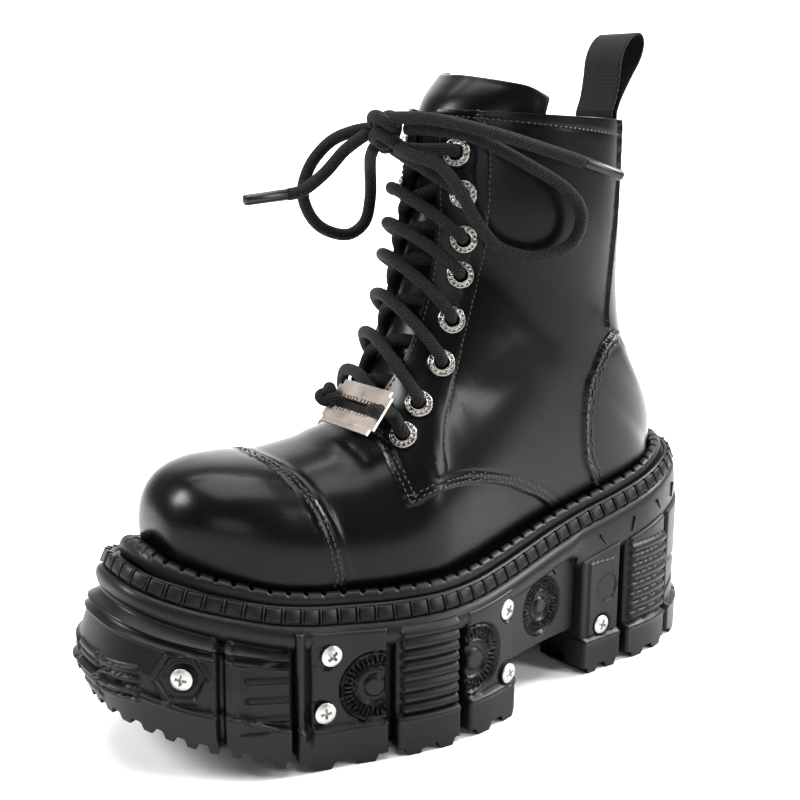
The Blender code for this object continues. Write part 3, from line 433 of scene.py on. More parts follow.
leather = finishOf("smoothBlackLeather", (0.0035, 0.0035, 0.0038), 0.30, grain=(1500.0, 22.0, 0.45),
                   bump=0.10, depth=0.00012, spread=0.05, tint=0.2, coat=0.06, coatRough=0.16, specular=0.19)
edgePaint = finishOf("edgePaint", (0.010, 0.010, 0.011), 0.28, grain=(1800.0, 60.0, 0.3),
                     bump=0.06, coat=0.3, coatRough=0.12)
liningCloth = finishOf("liningCloth", (0.018, 0.018, 0.020), 0.85, grain=(1600.0, 90.0, 0.3),
                       bump=0.4, spread=0.05, sheen=0.2)
rubber = finishOf("mattBlackRubber", (0.0065, 0.0065, 0.0070), 0.42, grain=(2600.0, 45.0, 0.35),
                  bump=0.18, depth=0.0001, spread=0.07, tint=0.3, specular=0.27)
treadRubber = finishOf("treadRubber", (0.0070, 0.0070, 0.0075), 0.55, grain=(2200.0, 60.0, 0.4),
                       bump=0.2, depth=0.0001, spread=0.08)
lace = finishOf("braidedLace", (0.0042, 0.0042, 0.0046), 0.70, grain=(2500.0, 300.0, 0.3),
                bump=1.0, depth=0.0010, spread=0.10, tint=0.75, sheen=0.03, braid=(2300.0, 4.0),
                specular=0.30)
thread = finishOf("blackThread", (0.026, 0.026, 0.028), 0.32, grain=(5000.0, 400.0, 0.3),
                  bump=0.5, depth=0.0001, coat=0.1)
ribbonCloth = finishOf("wovenRibbon", (0.0060, 0.0060, 0.0065), 0.66, grain=(3200.0, 200.0, 0.2),
                       bump=0.9, depth=0.0006, sheen=0.04, braid=(3000.0, 5.0), specular=0.25)
nickel = finishOf("paleNickel", (0.47, 0.46, 0.44), 0.42, 1.0, grain=(1400.0, 260.0, 0.5),
                  bump=0.05, depth=0.00005, spread=0.10, tint=0.12)
antique = finishOf("antiqueSilver", (0.27, 0.258, 0.24), 0.26, 1.0, grain=(900.0, 420.0, 0.6),
                   bump=0.35, depth=0.0002, spread=0.14, tint=0.55)
steel = finishOf("champagneSteel", (0.66, 0.585, 0.53), 0.34, 1.0, grain=(1800.0, 120.0, 0.4),
                 bump=0.10, depth=0.0001, spread=0.08, tint=0.10)
darkMetal = finishOf("darkMetal", (0.045, 0.045, 0.048), 0.34, 1.0, grain=(1500.0, 200.0, 0.4),
                     bump=0.1, spread=0.06)
print("materials made")

# upper: sections of the last from a front point to a back point
upperRows = (
    # sole share or back y, back z, front y, front z, k, outer, inner, n, m, middle
    (0.0642, 0, -0.4358, 0.000, 0.50, 0.000, 0.000, 2.0, 2.0, -0.014),
    (0.0730, 0, -0.4375, 0.184, 0.62, 0.122, 0.124, 2.3, 2.3, -0.014),
    (0.0900, 0, -0.4291, 0.240, 0.64, 0.189, 0.197, 2.4, 2.4, -0.014),
    (0.1160, 0, -0.4061, 0.279, 0.66, 0.255, 0.253, 2.4, 2.4, -0.012),
    (0.1490, 0, -0.3689, 0.298, 0.68, 0.312, 0.297, 2.4, 2.4, -0.010),
    (0.1860, 0, -0.3230, 0.301, 0.70, 0.352, 0.322, 2.35, 2.3, -0.008),
    (0.2270, 0, -0.2777, 0.297, 0.72, 0.375, 0.336, 2.3, 2.2, -0.006),
    (0.2700, 0, -0.2230, 0.306, 0.73, 0.397, 0.339, 2.2, 2.1, -0.004),
    (0.3180, 0, -0.1784, 0.322, 0.74, 0.430, 0.338, 2.1, 2.0, -0.002),
    (0.3650, 0, -0.1405, 0.344, 0.74, 0.453, 0.328, 2.05, 2.0, 0.000),
    (0.4190, 0, -0.1054, 0.404, 0.74, 0.466, 0.310, 2.0, 2.0, 0.000),
    (0.4760, 0, -0.0855, 0.460, 0.73, 0.436, 0.290, 2.0, 2.0, 0.000),
    (0.5370, 0, -0.0693, 0.510, 0.71, 0.396, 0.276, 2.0, 2.0, 0.000),
    (0.6010, 0, -0.0568, 0.558, 0.67, 0.360, 0.272, 2.0, 2.0, 0.000),
    (0.6690, 0, -0.0486, 0.601, 0.63, 0.338, 0.280, 2.0, 2.0, 0.000),
    (0.7360, 0, -0.0432, 0.639, 0.60, 0.326, 0.290, 2.0, 2.0, 0.000),
    (0.8000, 0, -0.0402, 0.672, 0.57, 0.318, 0.300, 2.0, 2.0, 0.000),
    (0.8570, 0, -0.0378, 0.699, 0.55, 0.316, 0.304, 2.0, 2.05, 0.000),
    (0.9030, 0, -0.0358, 0.722, 0.54, 0.315, 0.306, 2.0, 2.05, 0.000),
    (0.9355, 0, -0.0331, 0.742, 0.53, 0.316, 0.308, 2.0, 2.05, 0.000),
    (0.9380, 0.227, -0.0297, 0.763, 0.53, 0.318, 0.310, 2.0, 2.05, 0.000),
    (0.9220, 0.285, -0.0250, 0.786, 0.52, 0.320, 0.312, 2.0, 2.05, 0.000),
    (0.8905, 0.360, -0.0196, 0.814, 0.52, 0.324, 0.316, 2.0, 2.05, 0.000),
    (0.8570, 0.447, -0.0159, 0.848, 0.51, 0.330, 0.322, 2.0, 2.1, 0.000),
    (0.8400, 0.566, -0.0122, 0.889, 0.51, 0.337, 0.330, 2.0, 2.1, 0.000),
    (0.8375, 0.717, -0.0078, 0.932, 0.50, 0.343, 0.336, 2.0, 2.1, 0.000),
    (0.8362, 0.859, -0.0034, 0.970, 0.50, 0.347, 0.340, 2.0, 2.1, 0.000),
    (0.8350, 0.975, 0.0000, 1.000, 0.50, 0.350, 0.342, 2.0, 2.1, 0.000),
    (0.8150, 1.030, 0.0118, 1.033, 0.50, 0.344, 0.336, 2.0, 2.1, 0.000),
    (0.7900, 1.076, 0.0304, 1.063, 0.50, 0.332, 0.324, 2.0, 2.1, 0.000),
)
lastRow = len(upperRows) - 1
# share of the throat's height, share of its width
throatRows = (
    (0.00, 0.50), (0.10, 0.95), (0.25, 1.03), (0.60, 0.98), (0.85, 0.72), (1.00, 0.52), (1.20, 0.52),
)
upperSet = {
    "throatWidth": 0.0162,
    "throatRow": 9,
    "collarRow": 27,
    "heelRow": 19,
    "step": 0.0011,          # thickness of an overlaid panel's edge
    "across": 84,            # columns of one side
    "perRow": 5,             # rows between two sections
}


def featherAmount(y):
    s = along(y)
    return -(0.0147 + 0.0062 * max(0.0, 1.0 - s / 0.16) + 0.0034 * max(0.0, (s - 0.86) / 0.14))


featherOuter, featherInner = sides(featherAmount)
seatUp = 0.0068


def halfCurve(number, side):
    # dense points of one half of a section, front to back
    row = upperRows[number]
    middle = row[9] * boot["ball"]
    front = (row[2] * boot["length"], boot["platform"] + row[3] * boot["rise"])
    y = (row[0] - 0.5) * boot["length"]
    foot = 0.0
    if row[1] == 0:
        y = min(max(y, featherOuter[0, 1] + 0.0002), featherOuter[-1, 1] - 0.0002)
        back = (y, rimZ(y) + seatUp)
        foot = edgeX(featherOuter, y) - middle if side > 0 else middle - edgeX(featherInner, y)
    else:
        back = (y, boot["platform"] + row[1] * boot["rise"])
    if number == 0:
        front, foot = back, 0.0
    if number == upperSet["heelRow"]:
        back = (featherOuter[-1, 1], rimZ(featherOuter[-1, 1]) + seatUp)
        foot = 0.0
    k, width, n, m = row[4], (row[5] if side > 0 else row[6]) * boot["ball"], row[7], row[8]
    points = []
    for a in np.linspace(0, math.pi / 2, 41):
        points.append((k * (1 - math.cos(a) ** (2 / n)), width * math.sin(a) ** (2 / n)))
    for a in np.linspace(0, math.pi / 2, 41)[1:]:
        x = foot + (width - foot) * max(0.0, math.cos(a)) ** (2 / m)
        points.append((k + (1 - k) * math.sin(a) ** (2 / m), x))
    return np.array([(middle + side * x, front[0] * (1 - s) + back[0] * s, front[1] * (1 - s) + back[1] * s)
                     for s, x in points])


def runsAlong(points):
    # distance of each point from the first, along the line
    return np.concatenate([[0], np.cumsum(np.linalg.norm(np.diff(points, axis=0), axis=1))])


curves = {(i, side): halfCurve(i, side) for i in range(len(upperRows)) for side in (1, -1)}
runsOf = {key: runsAlong(curve) for key, curve in curves.items()}


def throatHalf(row):
    low, high = upperSet["throatRow"], upperSet["collarRow"]
    share = min(1.2, max(0.0, (row - low) / (high - low)))
    return upperSet["throatWidth"] * smooth(column(throatRows, 0), column(throatRows, 1), share)


def onCurve(number, side, run):
    c, r = curves[(number, side)], runsOf[(number, side)]
    return np.array([np.interp(run, r, c[:, axis]) for axis in range(3)])


def acrossRows(values, t):
    # smooth value between the sections around row t
    i = min(len(values) - 2, max(0, int(math.floor(t))))
    u = t - i
    four = [values[min(len(values) - 1, max(0, i + n))] for n in (-1, 0, 1, 2)]
    return curveBetween(*four, u)


def upperAt(row, run, side):
    # place on the last's surface: row number and distance from the middle line
    i = min(lastRow - 1, max(0, int(math.floor(row))))
    four = [onCurve(min(lastRow, max(0, i + n)), side, run) for n in (-1, 0, 1, 2)]
    return Vector(curveBetween(*four, row - i))


def normalAt(row, run, side, step=0.12):
    a = upperAt(row, run + 0.0012, side) - upperAt(row, max(0.0, run - 0.0012), side)
    b = upperAt(min(lastRow - 0.1, row + step), run, side) - upperAt(max(0.1, row - step), run, side)
    return (a.cross(b) * side).normalized()


def upperSpot(row, run, side, lift):
    return upperAt(row, run, side) + normalAt(row, run, side) * lift


middleSteps, sideSteps = 6, upperSet["across"]


def columnRuns(number, side):
    # distances of the columns from the middle line: middle part, then the side
    total = runsOf[(number, side)][-1]
    edge = min(throatHalf(number), total * 0.3)
    inner = [edge * k / middleSteps for k in range(middleSteps)]
    return inner + [edge + (total - edge) * k / sideSteps for k in range(sideSteps + 1)]


wholeGrid = {}
for side in (1, -1):
    stack = []
    for i in range(len(upperRows)):
        if i == 0:
            stack.append(np.repeat(curves[(0, side)][:1], middleSteps + sideSteps + 1, axis=0))
        else:
            stack.append(np.array([onCurve(i, side, run) for run in columnRuns(i, side)]))
    wholeGrid[side] = np.array(stack)
print("last shaped")

# seams: row of the last and millimetres from its middle line
seamRows = {
    "cap": (
        (5.86, 0), (5.90, 6), (6.02, 15), (6.25, 28), (6.38, 37), (6.50, 45), (6.75, 60), (7.0, 76),
        (7.2, 92),
    ),
    "quarter": (
        (9.15, 8), (9.10, 20), (9.12, 31), (9.02, 39), (9.00, 49), (9.10, 58.5), (9.55, 61.5), (10.12, 65),
        (10.8, 70), (11.5, 76), (12.1, 83), (12.62, 91), (13.05, 99), (13.38, 108), (13.66, 116),
        (13.88, 124), (14.2, 142),
    ),
    "counter": (
        (15.45, 158), (15.5, 147), (15.62, 134), (16.0, 126), (16.5, 120), (17.2, 115.5), (18.12, 113),
        (19.4, 113), (20.75, 115), (21.6, 118.5), (22.25, 123), (22.6, 128),
    ),
    "facing": (
        (27.0, 28.5), (25.25, 34.0), (23.62, 37.0), (22.25, 38.0), (20.12, 39.0), (15.75, 39.0),
        (13.25, 42.0), (11.88, 47.0), (11.12, 53.0), (10.75, 62.0),
    ),
    "edge": tuple((t, (throatHalf(t) + 0.0022) / mm) for t in (10.2, 12, 14, 16, 18, 20, 22, 24, 25.4, 26.4)),
    "collar": ((26.60, 14), (26.62, 30), (26.62, 60), (26.62, 90), (26.62, 116)),
    "back": ((22.25, 118), (23.2, 116.5), (24.25, 115), (25.38, 112), (26.2, 108), (27.0, 104)),
}


def seamPoints(name, side, spacing=0.0006):
    # even points of a seam on the last
    rows = seamRows[name]
    steps = np.linspace(0, len(rows) - 1, 12 * len(rows))
    t = [smooth(range(len(rows)), column(rows, 0), s) for s in steps]
    r = [smooth(range(len(rows)), column(rows, 1), s) for s in steps]
    made = []
    for a, b in zip(t, r):
        total = runsOf[(min(lastRow, int(round(a))), side)][-1]
        made.append(upperAt(a, min(b * mm, total + 0.004), side))
    pts = np.array(made)
    runs = runsAlong(pts)
    wanted = np.arange(0, runs[-1], spacing)
    return [Vector([np.interp(w, runs, pts[:, axis]) for axis in range(3)]) for w in wanted]


seamTrees = {}
for name in seamRows:
    for side in (1, -1):
        pts = seamPoints(name, side)
        tree = KDTree(len(pts))
        for number, point in enumerate(pts):
            tree.insert(point, number)
        tree.balance()
        seamTrees[(name, side)] = tree


def seamSign(name, t, run):
    # 1 on the overlaid side of a seam
    rows = seamRows[name]
    r = run / mm
    if name == "cap":
        return 1 if t < np.interp(r, column(rows, 1), column(rows, 0)) else -1
    if name == "quarter":
        return 1 if t > np.interp(r, column(rows, 1), column(rows, 0)) else -1
    if name == "facing":
        order = rows[::-1]
        return 1 if t > 9.0 and r < np.interp(t, column(order, 0), column(order, 1)) else -1
    if t < rows[0][0] or t > rows[-1][0]:
        return -1
    return 1 if r > np.interp(t, column(rows, 0), column(rows, 1)) else -1


def seamDistance(name, side, t, run, co):
    # metres from a seam, above zero on the overlaid side
    return seamTrees[(name, side)].find(co)[2] * seamSign(name, t, run)


# soft troughs and ridges of worn leather: ends as row and run, depth, half width
creases = (
    ((12.6, 50), (15.6, 74), -0.00050, 0.0070),
    ((13.8, 47), (17.0, 70), 0.00035, 0.0060),
    ((16.8, 52), (18.8, 92), -0.00040, 0.0085),
    ((7.5, 4), (7.9, 44), -0.00035, 0.0050),
    ((8.1, 8), (8.5, 48), 0.00030, 0.0045),
    ((22.9, 64), (22.4, 108), -0.00045, 0.0080),
    ((24.2, 50), (24.6, 95), 0.00030, 0.0100),
    ((10.2, 72), (9.6, 92), -0.00030, 0.0055),
)
creaseLines = []
for first, final, depth, half in creases:
    for side in (1, -1):
        line = []
        for u in np.linspace(0, 1, 24):
            row, run = (a * (1 - u) + b * u for a, b in zip(first, final))
            line.append(upperAt(row, run * mm, side))
        creaseLines.append((line, depth, half, side))


def creaseLift(co, side):
    total = 0.0
    for line, depth, half, own in creaseLines:
        if own != side or (co - line[12]).length > 0.05:
            continue
        gaps = [(co - p).length for p in line]
        near = min(range(len(gaps)), key=gaps.__getitem__)
        if gaps[near] < half * 2.6:
            ends = math.sin(math.pi * (near + 0.8) / (len(line) + 0.6)) ** 0.6
            total += depth * ends * math.exp(-(gaps[near] / half) ** 2)
    return total


def groove(distance, at, depth=0.00022, half=0.0006):
    return -ridge(distance - at, depth, half)


def upperLift(t, run, side, co):
    # how far the leather stands off the last
    lift = 0.0
    cap = seamDistance("cap", side, t, run, co)
    quarter = seamDistance("quarter", side, t, run, co)
    facing = seamDistance("facing", side, t, run, co)
    counter = seamDistance("counter", side, t, run, co)
    back = seamDistance("back", side, t, run, co)
    step = upperSet["step"]
    lift += step * ramp(-0.0005, 0.0004, cap)
    if abs(cap) < 0.012:
        lift += groove(cap, 0.0021) + groove(cap, 0.0051) - groove(cap, 0.0036, 0.00025, 0.0012)
        lift += ridge(cap + 0.0022, 0.0005, 0.0016) * ramp(0.001, -0.001, cap)
    lift += step * ramp(-0.0005, 0.0004, quarter)
    if abs(quarter) < 0.012:
        lift += groove(quarter, 0.0019) + groove(quarter, 0.0048)
    if t > 9 and abs(facing) < 0.006:
        lift += groove(facing, 0.0) + 0.0002 * ramp(-0.0008, 0.0008, facing)
    if abs(counter) < 0.02 or counter > 0:
        lift += 0.0006 * ramp(-0.0004, 0.0006, counter)
        lift += ridge(counter - 0.0008, 0.0011, 0.0011)
        lift += groove(counter, 0.0040) + groove(counter, 0.0068, 0.00015)
    if t > 22.2 and (abs(back) < 0.02 or back > 0):
        lift += 0.0005 * ramp(-0.0004, 0.0004, back)
        lift += ridge(back - 0.0006, 0.0009, 0.0008)
    if t > 26.0:
        lift += groove((27.0 - t) * 0.0075, 0.0030, 0.00018)
    return lift + creaseLift(co, side)


eyelets = {
    "rows": (24.85, 23.3, 20.8, 17.8, 14.85, 12.9, 10.95, 9.8),
    "shares": (1.265, 1.574, 1.760, 1.883, 1.944, 2.100, 2.100, 2.200),
}
eyeletSpots = {}
for side in (1, -1):
    for number, row in enumerate(eyelets["rows"]):
        run = upperSet["throatWidth"] * eyelets["shares"][number]
        eyeletSpots[(side, number)] = (upperSpot(row, run, side, 0.0011), normalAt(row, run, side))


def lastSheet(perRow, stride, top, bottom=0.0):
    # sheet of the last with its row, run and column kept on each vert
    mid = (middleSteps + sideSteps) // stride
    up = int(round((top - bottom) * perRow))
    form, spots = gridForm(mid * 2, up, ("row", "run", "col"))
    rowKey, runKey, colKey = (form.verts.layers.float[name] for name in ("row", "run", "col"))
    runTables = {}
    for side in (1, -1):
        runTables[side] = [[0.0] * (middleSteps + sideSteps + 1)]
        runTables[side] += [columnRuns(i, side) for i in range(1, len(upperRows))]
    for v, (col, row) in spots.items():
        t = bottom + row / perRow
        side = 1 if col >= mid else -1
        k = abs(col - mid) * stride
        i = min(lastRow - 1, int(t))
        v[rowKey] = t
        v[colKey] = float(k * side)
        v[runKey] = side * float(runTables[side][i][k] * (1 - t + i) + runTables[side][i + 1][k] * (t - i))
    return form, (rowKey, runKey, colKey)


def gridSpot(t, col, side):
    # smooth place on the last by row and column
    stack = wholeGrid[side]
    k = min(stack.shape[1] - 2, int(abs(col)))
    u = abs(col) - k
    if k == 0 or k + 2 >= stack.shape[1]:
        pts = acrossRows(stack[:, k:k + 2], t)
        return Vector(pts[0] * (1 - u) + pts[1] * u)
    return Vector(curveBetween(*acrossRows(stack[:, k - 1:k + 3], t), u))


def shapeSheet(form, keys):
    for v in form.verts:
        side = 1 if v[keys[2]] > 0 else -1
        v.co = gridSpot(v[keys[0]], v[keys[2]], side)


def faceOut(form, keys):
    # outward faces, told by the toe
    form.normal_update()
    probe = max((v for v in form.verts if v[keys[0]] > 2), key=lambda v: v.co.x)
    if probe.normal.x < 0:
        bmesh.ops.reverse_faces(form, faces=form.faces)
    form.normal_update()


def openThroat(form, keys, columns):
    # takes the throat out between the facings
    mid = [f for f in form.faces if all(v[keys[0]] > upperSet["throatRow"] - 0.01
                                        and abs(v[keys[2]]) < columns + 0.5 for v in f.verts)]
    bmesh.ops.delete(form, geom=mid, context="FACES")


def makeUpper():
    form, keys = lastSheet(upperSet["perRow"], 1, float(upperSet["collarRow"]))
    openThroat(form, keys, middleSteps)
    shapeSheet(form, keys)
    # closer faces beside the seams and the eyelets
    for share, reach in ((0.0019, 0.0085), (0.0011, 0.0060)):
        picked = set()
        for edge in form.edges:
            if edge.calc_length() < share:
                continue
            a = edge.verts[0]
            side = 1 if a[keys[2]] > 0 else -1
            near = min(seamTrees[(name, side)].find(a.co)[2] for name in seamRows)
            near = min([near] + [(a.co - eyeletSpots[(side, n)][0]).length - 0.003 for n in range(8)])
            if a[keys[0]] > 26.2:
                near = 0.0
            if near < reach:
                picked.add(edge)
        bmesh.ops.subdivide_edges(form, edges=list(picked), cuts=1, use_grid_fill=True)
    bmesh.ops.triangulate(form, faces=[f for f in form.faces if len(f.verts) > 4])
    shapeSheet(form, keys)
    bmesh.ops.remove_doubles(form, verts=form.verts, dist=0.00002)
    faceOut(form, keys)
    moves = {}
    for v in form.verts:
        side = 1 if v[keys[2]] > 0 else -1
        moves[v] = v.normal * upperLift(v[keys[0]], abs(v[keys[1]]), side, v.co)
    for v, move in moves.items():
        v.co += move
    centres = [spot for spot, normal in eyeletSpots.values()]
    holes = [f for f in form.faces if any((f.calc_center_median() - c).length < 0.0036 for c in centres)]
    bmesh.ops.delete(form, geom=holes, context="FACES")
    # cut edges of the collar and throat turn inwards
    form.normal_update()
    rim = [e for e in form.edges if e.is_boundary and all(v[keys[0]] > 8.9 for v in e.verts)
           and all(v[keys[0]] > 26.95 or abs(v[keys[2]]) < middleSteps + 0.6 for v in e.verts)]
    away = {v: v.normal.copy() for e in rim for v in e.verts}
    made = bmesh.ops.extrude_edge_only(form, edges=rim)
    for v in (g for g in made["geom"] if isinstance(g, bmesh.types.BMVert)):
        others = [e.other_vert(v) for e in v.link_edges]
        near = min((o for o in others if o in away), key=lambda o: (o.co - v.co).length)
        v.co -= away[near] * 0.0026
    roundOff(form, rim, 0.0005, 2)
    place(form)
    piece = pieceFrom(form, "upperLeather", leather)
    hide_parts("upper")
    return piece


def makeLining():
    form, keys = lastSheet(2, 3, float(upperSet["collarRow"]))
    openThroat(form, keys, middleSteps)
    shapeSheet(form, keys)
    bmesh.ops.remove_doubles(form, verts=form.verts, dist=0.00002)
    faceOut(form, keys)
    for v in form.verts:
        v.co = v.co - v.normal * 0.0016
    bmesh.ops.reverse_faces(form, faces=form.faces)
    place(form)
    return pieceFrom(form, "shaftLining", liningCloth)


upperPiece = makeUpper()
makeLining()
print("upper made", len(upperPiece.data.polygons))

# tongue
tongue = {"low": 8.6, "top": 29.85, "under": 0.0040, "thick": 0.0028, "wide": 0.021, "wideTop": 0.043}


def tongueHalf(t, side):
    wide = tongue["wide"] + (tongue["wideTop"] - tongue["wide"]) * ramp(20.0, 27.0, t)
    half = throatHalf(t) + wide - 0.010 * ramp(12.0, 9.0, t)
    if side > 0:
        half += 0.007 * ramp(22.0, 27.0, t)
    corner = max(0.0, (t - 27.2) / 2.65)
    return half * (1.0 - 0.30 * corner ** 2.6)


def makeTongue():
    across, up = 56, 110
    form, spots = gridForm(across, up)
    highest = lastRow - 0.1
    for v, (col, row) in spots.items():
        share = row / up
        u = col / across * 2 - 1
        t = tongue["low"] + (tongue["top"] - tongue["low"]) * share
        side = 1 if u >= 0 else -1
        # its top edge falls to the outer side
        t -= 1.9 * ramp(0.55, 1.0, share) * max(0.0, u) ** 1.8
        half = tongueHalf(t, side)
        run = abs(u) * half
        puff = 0.0009 * (1 - abs(u) ** 3) * ramp(24.0, 27.0, t)
        edge = min((1 - abs(u)) * half, (1 - share) * 0.19)
        lift = puff + groove(edge, 0.0042, 0.00035, 0.0007) - tongue["under"]
        v.co = upperSpot(max(0.2, min(highest, t)), run, side, lift)
        if t > highest:
            # runs straight on above the last's top row
            v.co += (v.co - upperSpot(highest - 0.3, run, side, lift)) * ((t - highest) / 0.3)
    bmesh.ops.recalc_face_normals(form, faces=form.faces)
    form.normal_update()
    if max(form.verts, key=lambda v: -v.co.y).normal.y > 0:
        bmesh.ops.reverse_faces(form, faces=form.faces)
    bmesh.ops.solidify(form, geom=form.faces, thickness=tongue["thick"])
    roundOff(form, sharpEdges(form, math.radians(55)), 0.0008, 2)
    place(form)
    piece = pieceFrom(form, "tonguePad", leather)
    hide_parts("tongue")
    return piece


makeTongue()
print("tongue made")

# sole
sole = {
    "flankStep": 0.00062,    # face size of the side blocks
    "pitch": 0.0077,         # of the pads along the rim
    "lug": 0.0050,
    "archFrom": 0.535,
    "archTo": 0.692,
    "archZ": 0.0225,
}


def baseZ(y):
    s = along(y)
    if sole["archFrom"] < s < sole["archTo"]:
        return max(groundZ(y) + sole["lug"], sole["archZ"])
    return groundZ(y) + sole["lug"]


def rimFrame(s, offset, rise, tilt=0.0):
    # place beside the rim with its along, outwards and up directions
    spot, way = rimAt(s, offset)
    ahead = rimAt(s + 0.002, offset)[0] - rimAt(s - 0.002, offset)[0]
    y = rimAt(s, 0.0)[0][1]
    slope = rimZ(rimAt(s + 0.002, 0.0)[0][1]) - rimZ(rimAt(s - 0.002, 0.0)[0][1])
    x = Vector((ahead[0], ahead[1], slope)).normalized()
    out = Vector((way[0], way[1], 0.0))
    out = (out - x * out.dot(x)).normalized()
    up = x.cross(out).normalized()
    if up.z < 0:
        up = -up
    frameOf = Matrix((x, out, up)).transposed().to_4x4()
    frameOf = frameOf @ Matrix.Rotation(tilt, 4, "X")
    frameOf.translation = Vector((spot[0], spot[1], rimZ(y) + rise))
    return frameOf


bodyLevels = (
    # offset from the rim, share of the height, extra
    (-0.0046, 0.0, 0.0), (-0.0046, 0.25, 0.0), (-0.0046, 0.5, 0.0), (-0.0044, 0.75, -0.004),
    (-0.0040, 1.0, -0.0125), (-0.0016, 1.0, -0.0115), (0.0006, 1.0, -0.0098), (0.0018, 1.0, -0.0080),
    (0.0023, 1.0, -0.0060), (0.0021, 1.0, -0.0040), (0.0012, 1.0, -0.0020), (-0.0001, 1.0, -0.0007),
    (-0.0014, 1.0, -0.0002), (-0.0015, 1.0, 0.0008), (-0.0020, 1.0, 0.0030), (-0.0029, 1.0, 0.0052),
    (-0.0033, 1.0, 0.0061), (-0.0041, 1.0, 0.0064), (-0.0047, 1.0, 0.0060), (-0.0049, 1.0, 0.0052),
    (-0.0060, 1.0, 0.0050), (-0.0068, 1.0, 0.0060), (-0.0076, 1.0, 0.0066), (-0.0110, 1.0, 0.0064),
    (-0.0160, 1.0, 0.0058),
)
# the heel has a plain band down to its blocks in place of the roll
heelLevels = (
    (-0.0046, 0.0, 0.0), (-0.0046, 0.25, 0.0), (-0.0046, 0.5, 0.0), (-0.0044, 0.75, -0.006),
    (-0.0040, 1.0, -0.0208), (-0.0008, 1.0, -0.0194), (0.0011, 1.0, -0.0180), (0.0015, 1.0, -0.0150),
    (0.0013, 1.0, -0.0100), (0.0010, 1.0, -0.0058), (0.0006, 1.0, -0.0024), (-0.0002, 1.0, -0.0008),
)


def heelBlend(row, y):
    # 0 in front, 1 at the heel, on the levels that the heel changes
    return ramp(0.672, 0.702, along(y)) if row < len(heelLevels) else 0.0


def levelAt(row, y):
    # offset, share of the height and extra height of one level
    if row >= len(heelLevels):
        return bodyLevels[row]
    blend = heelBlend(row, y)
    return tuple(a + (b - a) * blend for a, b in zip(bodyLevels[row], heelLevels[row]))


def makeSoleBody():
    # rings of the whole sole between ground and rim, then its underside
    half = 150
    shares = [k / half for k in range(half + 1)]
    shares = [0.5 - 0.5 * math.cos(math.pi * s) * (0.55 + 0.45 * abs(math.cos(math.pi * s))) for s in shares]
    lowest, highest = shares[0], shares[-1]
    shares = [(s - lowest) / (highest - lowest) for s in shares]
    form, spots = gridForm(half * 2, len(bodyLevels) - 1)
    rings = []
    for row in range(len(bodyLevels)):
        front = sides(levelAt(row, -0.1)[0])
        back = sides(levelAt(row, 0.1)[0])
        low, high = front[0][0, 1], back[0][-1, 1]
        ring = []
        for k in range(half * 2 + 1):
            number = 0 if k <= half else 1
            y = low + (high - low) * shares[k if k <= half else half * 2 - k]
            share, extra = levelAt(row, y)[1:]
            blend = heelBlend(row, y)
            x = edgeX(front[number], y) * (1 - blend) + edgeX(back[number], y) * blend
            ring.append((x, y, baseZ(y) * (1 - share) + rimZ(y) * share + extra))
        rings.append(ring)
    for v, (col, row) in spots.items():
        v.co = rings[row][col]
    # underside between the two sides of the lowest ring
    under, places = gridForm(half, 8)
    for v, (col, row) in places.items():
        a, b = Vector(rings[0][col]), Vector(rings[0][half * 2 - col])
        v.co = a.lerp(b, row / 8)
    mesh = bpy.data.meshes.new("underside")
    under.to_mesh(mesh)
    under.free()
    form.from_mesh(mesh)
    bpy.data.meshes.remove(mesh)
    bmesh.ops.remove_doubles(form, verts=form.verts, dist=0.00003)
    turnOutward(form, 0)
    place(form)
    piece = pieceFrom(form, "soleBody", rubber)
    hardEdges(piece, 50)
    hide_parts("outsole")
    return piece


def makeRimPads():
    # pads with thin raised lines between them round the rim
    form = bmesh.new()
    padTilt = math.radians(24)
    count = int(round(rimLength / sole["pitch"]))
    pitch = rimLength / count
    for k in range(count):
        s = (k + 0.5) * pitch
        pad = rimFrame(s, -0.0019, 0.0030, padTilt)
        line = rimFrame(s + pitch / 2, -0.0018, 0.0030, padTilt)
        roundBox(form, (0.0063, 0.0018, 0.0052), 0.00055, 2, pad)
        roundBox(form, (0.00075, 0.0024, 0.0060), 0.00022, 1, line)
    # short slanting bars on the heel's band
    for side in (1, -1):
        for n, y in enumerate((38, 55, 72, 92, 112, 128)):
            odd = n % 2
            turn = Matrix.Rotation(0.5 * side * (1 if odd else -1), 4, "Y")
            bar = rimFrame(runOf(side, y * mm), 0.0012 if y > 60 else 0.0010, -0.0098 - 0.0006 * odd)
            roundBox(form, (0.0012, 0.0016, 0.0062 + 0.0012 * odd), 0.00035, 2, bar @ turn)
    place(form)
    return pieceFrom(form, "rimPads", rubber)


# offset from the rim, height over the rim
weltProfile = (
    (-0.0056, 0.0046), (-0.0054, 0.0072), (-0.0056, 0.0088), (-0.0063, 0.0101), (-0.0074, 0.0107),
    (-0.0086, 0.0108), (-0.0096, 0.0102), (-0.0103, 0.0090), (-0.0106, 0.0070), (-0.0110, 0.0056),
)


